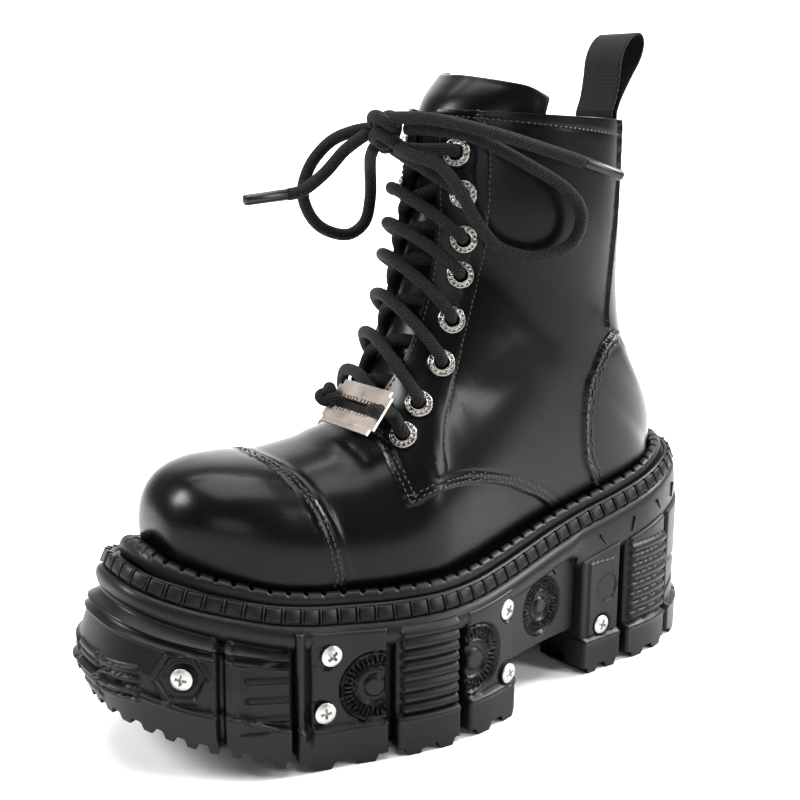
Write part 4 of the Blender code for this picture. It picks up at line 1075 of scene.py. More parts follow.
def makeWelt():
    # ridge with rounded notches
    count = int(round(rimLength / sole["pitch"]))
    pitch = rimLength / count
    across = count * 14
    form, spots = gridForm(across, len(weltProfile) - 1)
    for v, (col, row) in spots.items():
        s = col / across * rimLength
        offset, rise = weltProfile[row]
        share = row / 9
        phase = (s / pitch) % 1.0
        notch = ramp(0.15, 0.08, abs(phase - 0.5)) * ramp(0.30, 0.56, share) * ramp(1.0, 0.90, share)
        y = rimAt(s, 0.0)[0][1]
        extra = featherAmount(y) + 0.0147
        spot = rimAt(s, offset + extra * (0.30 + 0.70 * share) + 0.0002 * notch)[0]
        v.co = (spot[0], spot[1], rimZ(y) + rise - 0.0026 * notch)
    bmesh.ops.remove_doubles(form, verts=form.verts, dist=0.00002)
    turnOutward(form, 2)
    place(form)
    piece = pieceFrom(form, "stormWelt", rubber)
    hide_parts("welt")
    return piece


makeSoleBody()
makeRimPads()
makeWelt()
print("sole body made")


# shapes that stand out of a flank, in metres along the side and up
def bars(a, z, a0, a1, heights, tall, proud):
    if a < a0 or a > a1:
        return 0.0
    ends = min(1.0, (a - a0) / 0.0008, (a1 - a) / 0.0008)
    near = min(abs(z - h) for h in heights)
    return proud * ramp(tall * 0.62, tall * 0.30, near) * ends


def ringMark(a, z, ca, cz, radius):
    # plain round boss: two rims and a finely notched ring between them
    r = math.hypot(a - ca, z - cz)
    if r > radius + 0.002:
        return 0.0
    turn = math.atan2(z - cz, a - ca)
    lift = -0.0017 * ramp(radius + 0.0004, radius - 0.0004, r)
    lift += ridge(r - radius * 0.93, 0.0022, 0.0007)
    lift += ridge(r - radius * 0.52, 0.0015, 0.0007)
    inRing = ramp(radius * 0.58, radius * 0.64, r) * ramp(radius * 0.88, radius * 0.82, r)
    lift += 0.0013 * ramp(0.45, 0.75, abs(math.sin(turn * 18))) * inRing
    lift += 0.0016 * ramp(radius * 0.34, radius * 0.22, r)
    return lift


def screwSeat(a, z, ca, cz):
    r = math.hypot(a - ca, z - cz)
    return -0.0013 * ramp(0.0058, 0.0050, r)


def hexSeat(a, z, ca, cz, size):
    # six-sided recess
    r = max(abs(z - cz), abs(z - cz) * 0.5 + abs(a - ca) * 0.866)
    return -0.0017 * ramp(size, size - 0.0008, r) + ridge(r - size - 0.0008, 0.0009, 0.0006)


def ribs(z, low, high, count, proud):
    # rounded horizontal ribs
    if z < low or z > high:
        return 0.0
    return proud * abs(math.sin(math.pi * count * (z - low) / (high - low))) ** 0.65


def ribbedFace(a, z, height, wide, tooth, low, high):
    # ribs inside a frame with a toothed edge
    teeth = 0.0010 * (0.5 + 0.5 * math.sin(z / tooth * math.pi))
    inside = ramp(0.0012 + teeth, 0.0026 + teeth, a) * ramp(0.0002, 0.0014, wide - a)
    return ribs(height, low, high, 8, 0.0019) * inside - 0.0012 * (1 - inside) * ramp(0.016, 0.018, height)


screwSpots = {}
for side, word in ((1, "l"), (-1, "m")):
    for number in range(1, 7):
        low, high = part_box("screw_%s_%d" % (word, number))
        centre = (low + high) / 2 - boot["shift"]
        gaps = []
        for s in np.arange(0, 0.40, 0.0005):
            gaps.append((math.hypot(*(rimAt(side * s, 0.0)[0] - np.array(centre[:2]))), side * s))
        screwSpots[(side, number)] = (min(gaps)[1], centre)


def flank(side, y0, y1, top, shape, foot=0.022, notches=2, lean=0.0012, toeWall=False, span=None,
          roundness=0.0013, base=None):
    # one block of the side: a grid shaped flat, its edges turned in, then wrapped round the rim
    s0, s1 = span if span else (runOf(side, y0), runOf(side, y1))
    wide = abs(s1 - s0)
    across = max(6, int(wide / sole["flankStep"]))
    up = max(8, int(boot["platform"] / sole["flankStep"]))
    form, spots = gridForm(across, up)
    edgeLine = boot["platform"] * 0.29
    edges = {}
    for v, (col, row) in spots.items():
        a = wide * col / across
        s = s0 + (s1 - s0) * col / across
        y = rimAt(s, 0.0)[0][1]
        ground = groundZ(y) if base is None else base
        high = rimZ(y) + top
        z = ground + (high - ground) * row / up
        if notches:
            pitch = wide / notches
            z += 0.0032 * ramp(0.19, 0.30, abs((a / pitch) % 1.0 - 0.5)) * ramp(0.22, 0.0, row / up)
        height = z - ground
        out = lean
        if base is None:
            out += 0.0014 + 0.0021 * ramp(edgeLine + 0.0007, edgeLine - 0.0004, height)
            out += ridge(height - edgeLine + 0.0012, 0.0006, 0.0008)
            push = min(1.0, 0.35 + 0.65 * height / 0.02) * min(1.0, max(0.0, (high + 0.001 - z) / 0.022))
            out += toePush(s) * push
        if toeWall:
            out -= 0.0030 * ramp(0.0090, 0.0, high - z) ** 2
        out += shape(a, z, s, height, wide)
        near = high - z + 0.001 if toeWall else min(a, wide - a, high - z)
        if near < roundness:
            out -= roundness - math.sqrt(max(0.0, roundness ** 2 - (roundness - max(0.0, near)) ** 2))
        edges[v] = (s, out, z, row)
    # first all edges turn in, then the foot's inner edge turns up
    for again in (False, True):
        rim = [e for e in form.edges if e.is_boundary]
        if again:
            rim = [e for e in rim if all(edges[v][3] == -1 for v in e.verts)]
        turned = bmesh.ops.extrude_edge_only(form, edges=rim)
        fresh = {}
        for v in (g for g in turned["geom"] if isinstance(g, bmesh.types.BMVert)):
            twin = next(o for e in v.link_edges for o in (e.other_vert(v),) if o in edges)
            s, out, z, row = edges[twin]
            if again:
                fresh[v] = (s, out, z + 0.008, -2)
            elif row == 0:
                fresh[v] = (s, -foot, z, -1)
            else:
                fresh[v] = (s, -0.0072, z, row)
        edges.update(fresh)
    for v, (s, out, z, row) in edges.items():
        v.co = (*rimAt(s, out)[0], z)
    return form


def joinForms(forms, name, finish):
    for form in forms:
        bmesh.ops.recalc_face_normals(form, faces=form.faces)
    piece = pieceFrom(mergeForms(forms), name, finish)
    hardEdges(piece, 48)
    return piece


def seatsOf(side, s0, numbers):
    # distance from the block's start and height of its screws
    return [(abs(screwSpots[(side, n)][0] - s0), screwSpots[(side, n)][1].z) for n in numbers]


def blockA(side):
    s0 = runOf(side, -92 * mm)
    marks = seatsOf(side, s0, (2, 3))
    mid = abs(runOf(side, -60.0 * mm) - s0)

    def shape(a, z, s, height, wide):
        lift = sum(screwSeat(a, z, *m) for m in marks) + ringMark(a, z, mid, 0.0315, 0.0152)
        if height > 0.012:
            # rounded post at the toe end
            lift += 0.0016 * ramp(0.0040, 0.0020, a)
        lift -= ridge(a - 0.0052, 0.0022, 0.0009) * ramp(0.010, 0.014, height)
        return lift
    return flank(side, -96 * mm + 0.001, -58 * mm, -0.0024, shape)


def blockB(side):
    def shape(a, z, s, height, wide):
        return ribbedFace(a, z, height, wide, 0.0027, 0.0175, 0.0545)
    return flank(side, -54.5 * mm, -26.5 * mm, -0.0024, shape)


def blockC(side):
    s0 = runOf(side, -22 * mm)
    marks = seatsOf(side, s0, (4, 5))

    def shape(a, z, s, height, wide):
        lift = sum(screwSeat(a, z, *m) for m in marks) + ringMark(a, z, 0.0042, 0.0335, 0.0156)
        lift -= 0.0020 * ramp(wide - 0.0040, wide, a)
        return lift
    return flank(side, -22 * mm, 9 * mm, -0.0030, shape)


def waist(side):
    s0 = runOf(side, 8 * mm)
    mid = abs(runOf(side, 33.6 * mm) - s0)

    def shape(a, z, s, height, wide):
        return ringMark(a, z, mid, 0.0396, 0.0136)
    return flank(side, 8 * mm, 58 * mm, -0.0060, shape, foot=0.004, notches=0, lean=-0.0022,
                 base=sole["archZ"] - 0.0004, roundness=0.0006)


def blockD(side):
    s0 = runOf(side, 57.5 * mm)
    mark = seatsOf(side, s0, (6,))[0]

    def shape(a, z, s, height, wide):
        top = 0.0575
        frameLine = max(abs(a - wide / 2) - (wide / 2 - 0.0042), z - (top - 0.0045))
        lift = 0.0011 * ramp(0.0006, -0.0002, frameLine) * ramp(0.0165, 0.0185, height)
        r = math.hypot(a - 0.0165, z - 0.0395)
        lift += screwSeat(a, z, *mark)
        return lift - 0.0006 * ramp(0.0068, 0.0062, r) + ridge(r - 0.0064, 0.0006, 0.0004)
    return flank(side, 57.5 * mm, 82.5 * mm, -0.0150, shape)


def blockE(side):
    def shape(a, z, s, height, wide):
        return ribbedFace(a, z, height, wide, 0.0024, 0.0185, 0.0570)
    return flank(side, 87 * mm, 117 * mm, -0.0165, shape)


def toeWall():
    s0, s1 = runOf(-1, -97.5 * mm), runOf(1, -97.5 * mm)

    def shape(a, z, s, height, wide):
        d = abs(s)
        under = z - rimZ(rimAt(s, 0.0)[0][1])
        # two rolls and two lines under the rim
        lift = ridge(under + 0.0130, 0.0016, 0.0008) + ridge(under + 0.0168, 0.0014, 0.0007)
        lift -= ridge(under + 0.0105, 0.0012, 0.0009) + ridge(under + 0.0149, 0.0008, 0.0007)
        # ribs at the tip and bars beside them
        if d < 0.0086:
            lift += ribs(z, 0.0300, 0.0500, 5, 0.0012) * ramp(0.0084, 0.0070, d)
        lift += bars(d, z, 0.0095, 0.0245, [0.0475 - 0.004 * n for n in range(4)], 0.0026, 0.0016)
        run, centre = screwSpots[(1 if s > 0 else -1, 1)]
        lift += hexSeat(d, z, abs(run), centre.z, 0.0082) + screwSeat(d, z, abs(run), centre.z) * 0.4
        # framed panels with a groove between them
        lift -= 0.0034 * ramp(0.0016, 0.0008, abs(d - 0.0525)) * ramp(0.004, 0.006, height)
        frames = ridge(d - 0.0493, 0.0007, 0.0008) + ridge(d - 0.0833, 0.0007, 0.0008)
        lift += (frames + ridge(d - 0.0560, 0.0008, 0.0009)) * ramp(0.014, 0.018, height)
        if 0.058 < d < 0.081:
            panel = ramp(0.0580, 0.0592, d) * ramp(0.0810, 0.0798, d)
            lift -= 0.0009 * panel * ramp(0.020, 0.0215, z) * ramp(0.0485, 0.047, z)
            for n in range(3):
                line = 0.0265 + 0.0078 * n - (d - 0.058) * 0.12
                ends = ramp(0.0605, 0.0620, d) * ramp(0.0800, 0.0785, d)
                lift += ridge(z - line, 0.0016, 0.0008) * ends
        return lift
    return flank(1, 0, 0, -0.0074, shape, foot=0.018, notches=19, toeWall=True, span=(s0, s1))


def heelBack():
    # four blocks round the heel with crossing grooves
    forms = []
    a, b = runOf(1, 119.5 * mm), runOf(1, 147.9 * mm)
    each = (2 * (b - a) - 0.002) / 4

    def shape(a, z, s, height, wide):
        return -ridge(z - 0.024 - a * 0.25, 0.0013, 0.0010) - ridge(z - 0.040 + a * 0.15, 0.0013, 0.0010)
    for n in range(4):
        s0 = a + 0.0015 + n * (each + 0.0016)
        forms.append(flank(1, 0, 0, -0.0180, shape, foot=0.018, notches=1, span=(s0, s0 + each)))
    return forms


for side, word in ((1, "outer"), (-1, "inner")):
    joinForms([blockA(side), blockB(side), blockC(side), waist(side)], "foreBlocks_" + word, rubber)
    joinForms([blockD(side), blockE(side)], "heelBlocks_" + word, rubber)
joinForms([toeWall()], "toeWall", rubber)
joinForms(heelBack(), "heelBack", rubber)
print("flank blocks made")

# tread lugs under the forefoot and the heel
lugRows = (
    # along, outer, inner, half length
    (0.170, 0.13, 0.15, 0.020), (0.245, 0.17, 0.19, 0.024), (0.315, 0.19, 0.19, 0.022),
    (0.385, 0.20, 0.17, 0.022), (0.455, 0.18, 0.14, 0.022), (0.738, 0.10, 0.10, 0.026),
    (0.820, 0.10, 0.10, 0.026), (0.893, 0.10, 0.10, 0.018),
)


def makeLugs():
    form = bmesh.new()
    tall = sole["lug"] + 0.0022
    for share, right, left, half in lugRows:
        y = (share - 0.5) * boot["length"]
        for x0, x1 in ((-left * boot["ball"], -0.002), (0.002, right * boot["ball"])):
            where = Matrix.Translation(((x0 + x1) / 2, y, groundZ(y) + tall / 2))
            roundBox(form, (x1 - x0, half * boot["length"] * 2, tall), 0.0008, 2, where)
    place(form)
    piece = pieceFrom(form, "treadLugs", treadRubber)
    hardEdges(piece, 50)
    return piece


makeLugs()

# screws with cross slots
screw = {"radius": 0.0044, "dome": 0.0009, "slot": 0.00050, "reach": 0.0023, "deep": 0.0016}


def makeScrew(side, number):
    s, centre = screwSpots[(side, number)]
    rings = 26
    form = bmesh.new()
    bmesh.ops.create_grid(form, x_segments=rings * 2, y_segments=rings * 2, size=1.0)
    turn = 0.5 + number * 0.9
    for v in form.verts:
        # square grid to round head
        x, y = v.co.x, v.co.y
        u, w = x * math.sqrt(1 - y * y / 2), y * math.sqrt(1 - x * x / 2)
        r = math.hypot(u, w)
        p = Vector((u, w)) * screw["radius"]
        px = p.x * math.cos(turn) + p.y * math.sin(turn)
        py = -p.x * math.sin(turn) + p.y * math.cos(turn)
        lift = screw["dome"] * (1 - r ** 2.6)
        arms = [min(screw["slot"] - abs(m), screw["reach"] - abs(n)) for m, n in ((px, py), (py, px))]
        lift -= screw["deep"] * ramp(-0.00012, 0.00018, max(arms))
        v.co = (p.x, p.y, lift)
    rim = [e for e in form.edges if e.is_boundary]
    made = bmesh.ops.extrude_edge_only(form, edges=rim)
    lower = [g for g in made["geom"] if isinstance(g, bmesh.types.BMVert)]
    bmesh.ops.translate(form, verts=lower, vec=(0, 0, -0.0006))
    turnOutward(form, 2)
    out = Vector((*rimAt(s, 0.0)[1], 0.0))
    turned = out.to_track_quat("Z", "Y").to_matrix().to_4x4()
    turned.translation = centre - out * 0.0002
    bmesh.ops.transform(form, matrix=turned, verts=form.verts)
    place(form)
    word = "l" if side > 0 else "m"
    piece = pieceFrom(form, "screwHead_%s_%d" % (word, number), nickel)
    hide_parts("screw_%s_%d" % (word, number))
    return piece


for side in (1, -1):
    for number in range(1, 7):
        makeScrew(side, number)
print("screws made")

# eyelets: two smooth rims with a knurled ring between them
eyeletProfile = (
    # radius, height
    (0.0027, -0.0030), (0.0027, 0.0006), (0.0029, 0.0016), (0.0033, 0.0021), (0.0037, 0.0020),
    (0.0040, 0.0016), (0.0043, 0.0015), (0.0049, 0.0014), (0.0051, 0.0015), (0.0054, 0.0016),
    (0.0058, 0.0013), (0.0061, 0.0006), (0.0061, -0.0003),
)


def makeEyelet(side, number):
    spot, normal = eyeletSpots[(side, number)]
    around = 84
    form, spots = gridForm(around, len(eyeletProfile) - 1)
    for v, (col, row) in spots.items():
        radius, height = eyeletProfile[row]
        angle = 2 * math.pi * col / around
        if row in (6, 7):
            # knurls
            height += 0.00035 if math.sin(angle * 14) > 0 else -0.00035
        v.co = (radius * math.cos(angle), radius * math.sin(angle), height)
    bmesh.ops.remove_doubles(form, verts=form.verts, dist=0.00002)
    turnOutward(form, 2)
    turned = normal.to_track_quat("Z", "Y").to_matrix().to_4x4()
    turned.translation = spot
    bmesh.ops.transform(form, matrix=turned, verts=form.verts)
    place(form)
    word = "l" if side > 0 else "m"
    piece = pieceFrom(form, "eyeletRing_%s_%d" % (word, number + 1), antique)
    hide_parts("eyelet_%s_%d" % (word, number + 1))
    return piece


for side in (1, -1):
    for number in range(len(eyelets["rows"])):
        makeEyelet(side, number)
print("eyelets made")

# laces
cordSet = {"diameter": 0.0053, "around": 20, "step": 0.0011}
radius = cordSet["diameter"] / 2


def roundLine(points):
    # smooth even line through the points
    pts = [Vector(p) for p in points]
    fine = []
    for i in range(len(pts) - 1):
        four = [pts[min(len(pts) - 1, max(0, i + n))] for n in (-1, 0, 1, 2)]
        fine += [curveBetween(*four, k / 24) for k in range(24)]
    fine.append(pts[-1])
    array = np.array(fine)
    for softening in range(10):
        array[1:-1] = (array[:-2] + 2 * array[1:-1] + array[2:]) / 4
    runs = runsAlong(array)
    count = max(4, int(runs[-1] / cordSet["step"]))
    wanted = np.linspace(0, runs[-1], count)
    return [Vector([np.interp(w, runs, array[:, axis]) for axis in range(3)]) for w in wanted]


def lineLength(line):
    return sum((b - a).length for a, b in zip(line, line[1:]))


def tubeForm(line, radius):
    # round tube on a line, with UV along it and around it; its ends close in a small dome
    around = cordSet["around"]
    form, spots = gridForm(len(line) - 1, around, uv=True)
    uv = form.loops.layers.uv["UVMap"]
    doubled = [line[0], *line, line[-1]]
    tangents = [(c - a).normalized() for a, c in zip(doubled, doubled[2:])]
    across = tangents[0].orthogonal().normalized()
    frames, runs = [], [0.0]
    for k, t in enumerate(tangents):
        across = (across - t * across.dot(t)).normalized()
        frames.append((across.copy(), t.cross(across)))
        if k:
            runs.append(runs[-1] + (line[k] - line[k - 1]).length)
    for v, (col, row) in spots.items():
        angle = 2 * math.pi * row / around
        a, b = frames[col]
        near = min(runs[col], runs[-1] - runs[col])
        dome = 1 - min(1.0, near / (radius * 0.7))
        size = radius * math.sqrt(max(0.0004, 1 - dome ** 2))
        v.co = line[col] + (a * math.cos(angle) + b * math.sin(angle)) * size
    for v, (col, row) in spots.items():
        for loop in v.link_loops:
            loop[uv].uv = (runs[col], row / around)
    bmesh.ops.remove_doubles(form, verts=form.verts, dist=0.00001)
    bmesh.ops.recalc_face_normals(form, faces=form.faces)
    return form


def joinTubes(forms, name, finish):
    return pieceFrom(mergeForms(forms, uv=True), name, finish)


def crossing(number):
    # from outer eyelet up over the tongue to the inner eyelet above, on top
    low, high = eyelets["rows"][number], eyelets["rows"][number - 1]
    rise = high - low
    runLow = upperSet["throatWidth"] * eyelets["shares"][number]
    runHigh = upperSet["throatWidth"] * eyelets["shares"][number - 1]
    points = [
        upperSpot(low, runLow - 0.0003, 1, -0.0050),
        upperSpot(low, runLow - 0.0003, 1, -0.0008),
        upperSpot(low + rise * 0.06, runLow - 0.0020, 1, 0.0038),
        upperSpot(low + rise * 0.22, throatHalf(low) + 0.0010, 1, 0.0050),
        upperSpot(low + rise * 0.50, 0.0010, 1, 0.0052),
        upperSpot(low + rise * 0.78, throatHalf(high) * 0.9, -1, 0.0056),
        upperSpot(low + rise * 0.93, runHigh - 0.0030, -1, 0.0052),
        upperSpot(high, runHigh, -1, 0.0006),
        upperSpot(high, runHigh, -1, -0.0045),
    ]
    return roundLine(points)


def passing(number):
    # from under the inner flap up to under the outer flap
    low, high = eyelets["rows"][number], eyelets["rows"][number - 1]
    rise = high - low
    halfLow, halfHigh = throatHalf(low), throatHalf(high)
    points = [
        upperSpot(low + 0.1, halfLow + 0.0060, -1, -0.0046),
        upperSpot(low + rise * 0.12, halfLow - 0.0010, -1, -0.0014),
        upperSpot(low + rise * 0.34, halfLow * 0.45, -1, -0.0005),
        upperSpot(low + rise * 0.62, halfHigh * 0.40, 1, -0.0010),
        upperSpot(low + rise * 0.86, halfHigh - 0.0006, 1, -0.0034),
        upperSpot(low + rise * 0.97, halfHigh + 0.0050, 1, -0.0052),
    ]
    return roundLine(points)


# blade-shaped charm on the lowest bar
charm = {
    "place": Vector((0.0188, -0.0462, 0.1358)),
    "across": Vector((1.0, 0.0, 0.03)).normalized(),
    "up": Vector((0.0, 0.62, 0.785)),
    "half": 0.0200,
    "tall": 0.0103,
    "thick": 0.0011,
}
charm["up"] = (charm["up"] - charm["across"] * charm["up"].dot(charm["across"])).normalized()
charm["out"] = charm["across"].cross(charm["up"]).normalized()
if charm["out"].y > 0:
    charm["out"] = -charm["out"]


def charmSpot(a, b, lift):
    flat = charm["across"] * (a * charm["half"]) + charm["up"] * (b * charm["tall"])
    return charm["place"] + flat + charm["out"] * lift


def makeCharm():
    # plate with stepped corners and a toothed slot
    form = bmesh.new()
    bmesh.ops.create_grid(form, x_segments=160, y_segments=80, size=1.0)
    gone = []
    for face in form.faces:
        c = face.calc_center_median()
        a, b = c.x, c.y
        corner = abs(a) > 0.87 and abs(b) > 0.76
        tooth = 0.22 + (0.16 if (abs(a) * 8.4) % 1.0 > 0.5 else 0.0)
        slot = abs(b) < tooth and abs(a) < 0.60
        hole = math.hypot((abs(a) - 0.60) * 1.9, b) < 0.26
        if corner or slot or hole:
            gone.append(face)
    bmesh.ops.delete(form, geom=gone, context="FACES")
    loose = [v for v in form.verts if not v.link_faces]
    bmesh.ops.delete(form, geom=loose, context="VERTS")
    for v in form.verts:
        a, b = v.co.x, v.co.y
        line = ridge(abs(b) - 0.78, 0.00010, 0.03) if abs(a) < 0.9 else 0.0
        v.co = charmSpot(a, b, charm["thick"] / 2 - line)
    bmesh.ops.recalc_face_normals(form, faces=form.faces)
    form.normal_update()
    if form.faces[0].normal.dot(charm["out"]) < 0:
        bmesh.ops.reverse_faces(form, faces=form.faces)
    bmesh.ops.solidify(form, geom=form.faces, thickness=charm["thick"])
    bmesh.ops.recalc_face_normals(form, faces=form.faces)
    place(form)
    piece = pieceFrom(form, "bladeCharm", steel)
    hardEdges(piece, 40)
    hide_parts("blade_charm")
    return piece


def charmBar():
    # lowest lace: out of the outer eyelet, over the plate's end, through its slot and up at the other end
    low = eyelets["rows"][-1]
    run = upperSet["throatWidth"] * eyelets["shares"][-1]
    points = [
        upperSpot(low, run, 1, -0.0050),
        upperSpot(low, run, 1, -0.0008),
        upperSpot(low + 0.05, run - 0.0022, 1, 0.0040),
        upperSpot(low + 0.12, run - 0.0075, 1, 0.0068),
        charmSpot(0.94, -0.02, 0.0036),
        charmSpot(0.76, 0.0, 0.0024),
        charmSpot(0.58, 0.0, -0.0036),
        charmSpot(0.0, 0.0, -0.0042),
        charmSpot(-0.58, 0.0, -0.0036),
        charmSpot(-0.74, 0.0, 0.0022),
        charmSpot(-0.84, 0.0, 0.0038),
        charmSpot(-0.90, 0.02, 0.0040),
    ]
    return roundLine(points)


def knobForm(spot, radius):
    # small overhand knot
    line = []
    for k in range(64):
        angle = 2 * math.pi * k / 63
        flat = charm["across"] * (0.0020 * math.cos(angle)) + charm["up"] * (0.0030 * math.sin(angle))
        line.append(spot + flat + charm["out"] * (0.0014 * math.sin(angle * 2)))
    return tubeForm(line, radius)


knotLow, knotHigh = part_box("lace_knot")
knotPlace = (Vector(knotLow) + Vector(knotHigh)) / 2 - boot["shift"]


def toKnot(side):
    # from under the top eyelet's flap up to the knot
    top = eyelets["rows"][0]
    run = upperSet["throatWidth"] * eyelets["shares"][0]
    points = [
        upperSpot(top, run, side, -0.0050),
        upperSpot(top, run, side, -0.0006),
        upperSpot(top + 0.05, run - 0.0022 if side > 0 else run * 0.8, side, 0.0044),
        knotPlace + Vector((side * 0.0085, 0.0040, -0.0075)),
        knotPlace + Vector((side * 0.0020, 0.0010, -0.0030)),
    ]
    return roundLine(points)


strands = [tubeForm(crossing(n), radius) for n in range(1, 8)]
strands += [tubeForm(passing(n), radius) for n in range(1, 8)]
strands += [tubeForm(charmBar(), radius), knobForm(charmSpot(-0.94, 0.03, 0.0042), radius * 0.92)]
strands += [tubeForm(toKnot(side), radius) for side in (1, -1)]
lacing = joinTubes(strands, "laceCrossings", lace)
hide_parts("lace_crossings")
makeCharm()
print("lacing made")


# strands folded over the knot, from its middle
knotStrands = (
    ((-0.0078, -0.0010, 0.0012), (-0.0045, -0.0042, 0.0050), (0.0015, -0.0056, 0.0056),
     (0.0064, -0.0040, 0.0030), (0.0086, 0.0004, 0.0004)),
    ((-0.0076, -0.0006, -0.0042), (-0.0030, -0.0046, -0.0030), (0.0020, -0.0052, -0.0012),
     (0.0074, -0.0020, -0.0046), (0.0086, 0.0010, -0.0060)),
)


def makeKnot():
    # wrap round the middle and two strands folded over it
    wrap = []
    for k in range(60):
        angle = 2 * math.pi * k / 59
        x, y, z = 0.0022 * math.sin(angle), -0.0046 * math.cos(angle) - 0.0002, 0.0056 * math.sin(angle)
        wrap.append(knotPlace + Vector((x, y, z)))
    forms = [tubeForm(wrap, radius)]
    for strand in knotStrands:
        forms.append(tubeForm(roundLine([knotPlace + Vector(p) for p in strand]), radius))
    piece = joinTubes(forms, "laceKnot", lace)
    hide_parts("lace_knot")
    return piece


knotPiece = makeKnot()

# loops and ends of the bow, as shares of the sole's length from the knot
bowRows = {
    "lace_loop_l": (
        (0.031, 0.006, 0.001), (0.078, 0.028, 0.000), (0.114, 0.069, -0.010), (0.146, 0.133, -0.045),
        (0.161, 0.195, -0.081), (0.162, 0.225, -0.118), (0.155, 0.212, -0.160), (0.143, 0.158, -0.176),
        (0.129, 0.104, -0.162), (0.124, 0.068, -0.126), (0.118, 0.040, -0.080), (0.098, 0.020, -0.047),
        (0.062, -0.002, -0.034), (0.028, -0.004, -0.025),
    ),
    "lace_loop_m": (
        (-0.031, 0.002, 0.002), (-0.060, -0.020, -0.004), (-0.085, -0.045, -0.020), (-0.100, -0.070, -0.055),
        (-0.106, -0.078, -0.098), (-0.106, -0.054, -0.140), (-0.102, -0.008, -0.157), (-0.102, 0.026, -0.140),
        (-0.098, 0.034, -0.100), (-0.080, 0.022, -0.062), (-0.054, 0.006, -0.040), (-0.029, -0.002, -0.023),
    ),
    "lace_end_l": (
        (0.025, -0.014, 0.016), (0.076, 0.010, 0.016), (0.112, 0.036, 0.009), (0.152, 0.092, -0.008),
        (0.180, 0.178, -0.035), (0.186, 0.207, -0.044),
    ),
    "lace_end_m": (
        (-0.017, -0.021, -0.005), (-0.044, -0.044, -0.030), (-0.060, -0.068, -0.062),
        (-0.062, -0.104, -0.086), (-0.062, -0.133, -0.091),
    ),
}
bowStart = upperSpot(25.3, 0.0, 1, 0.0172)


def makeAglet(line, name):
    # metal tip that takes in the last millimetre of a lace end
    way = (line[-1] - line[-3]).normalized()
    start = line[-1] - way * 0.0010
    form = bmesh.new()
    bmesh.ops.create_cone(form, cap_ends=True, segments=24, radius1=radius * 0.94, radius2=radius * 0.86,
                          depth=0.0200)
    roundOff(form, sharpEdges(form, 1.0), 0.0006, 2)
    turned = way.to_track_quat("Z", "Y").to_matrix().to_4x4()
    turned.translation = start + way * 0.0100
    bmesh.ops.transform(form, matrix=turned, verts=form.verts)
    place(form)
    piece = pieceFrom(form, "agletTube" + name[-2:], darkMetal)
    hardEdges(piece, 40)
    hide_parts("aglet" + name[-2:])
    return piece


def makeBow(name):
    points = [Vector(p) * boot["length"] + bowStart for p in bowRows[name]]
    line = roundLine(points)
    piece = joinTubes([tubeForm(line, radius)], name.replace("lace_", "bow_"), lace)
    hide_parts(name)
    if "loop" in name:
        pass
    else:
        tip = makeAglet(line, name)
    print(name, round(lineLength(line) * 1000), "mm")
    return piece


for name in bowRows:
    makeBow(name)

# stitches
stitch = {"long": 0.00190, "thick": 0.00072, "pitch": 0.00245}
template = bmesh.new()
bmesh.ops.create_uvsphere(template, u_segments=6, v_segments=4, radius=0.5)
stitchMesh = bpy.data.meshes.new("stitch")
template.to_mesh(stitchMesh)
template.free()
leatherForm = bmesh.new()
leatherForm.from_mesh(upperPiece.data)
leatherTree = BVHTree.FromBMesh(leatherForm)
leatherForm.free()


def addStitch(form, spot, way, normal, long=stitch["long"], thick=stitch["thick"]):
    # one small capsule lying on the leather
    before = len(form.verts)
    form.from_mesh(stitchMesh)
    form.verts.ensure_lookup_table()
    across = normal.cross(way).normalized()
    turned = Matrix((across * thick, normal * thick, way * long)).transposed().to_4x4()
    turned.translation = spot
    bmesh.ops.transform(form, matrix=turned, verts=form.verts[before:])


def onLeather(point):
    # nearest place and its normal
    return leatherTree.find_nearest(point)[:2]


def stitchRow(form, name, side, offset, sign, first=0.0, last=1.0):
    points = seamPoints(name, side, stitch["pitch"])
    count = len(points)
    for k in range(1, count - 1):
        if not first <= k / count <= last:
            continue
        way = (points[k + 1] - points[k - 1]).normalized()
        spot, normal = onLeather(points[k] + boot["shift"])
        spot, normal = onLeather(spot + normal.cross(way).normalized() * offset * sign)
        way = (way - normal * way.dot(normal)).normalized()
        addStitch(form, spot + normal * 0.00012, way, normal)


stitchRows = (
    # seam, offset, sign, first, last
    ("cap", 0.0021, -1, 0.0, 0.96), ("cap", 0.0051, -1, 0.0, 0.96),
    ("quarter", 0.0019, 1, 0.0, 0.86), ("quarter", 0.0048, 1, 0.0, 0.86),
    ("facing", 0.0, 1, 0.02, 0.93),
    ("counter", 0.0040, -1, 0.03, 1.0), ("counter", 0.0068, -1, 0.03, 1.0),
    ("collar", 0.0, 1, 0.0, 1.0), ("edge", 0.0, 1, 0.0, 1.0),
)
for name in sorted({row[0] for row in stitchRows}):
    form = bmesh.new()
    for seam, offset, sign, first, last in stitchRows:
        if seam == name:
            for side in (1, -1):
                stitchRow(form, name, side, offset, sign * side, first, last)
    pieceFrom(form, name + "Stitches", thread)


def tackAt(form, t, run, side, long, thick):
    # one stitch across the run direction
    a, b = (upperAt(t, r, side) + boot["shift"] for r in (run, run + 0.001))
    spot, normal = onLeather(a)
    addStitch(form, spot + normal * 0.0001, (b - a).normalized(), normal, long, thick)


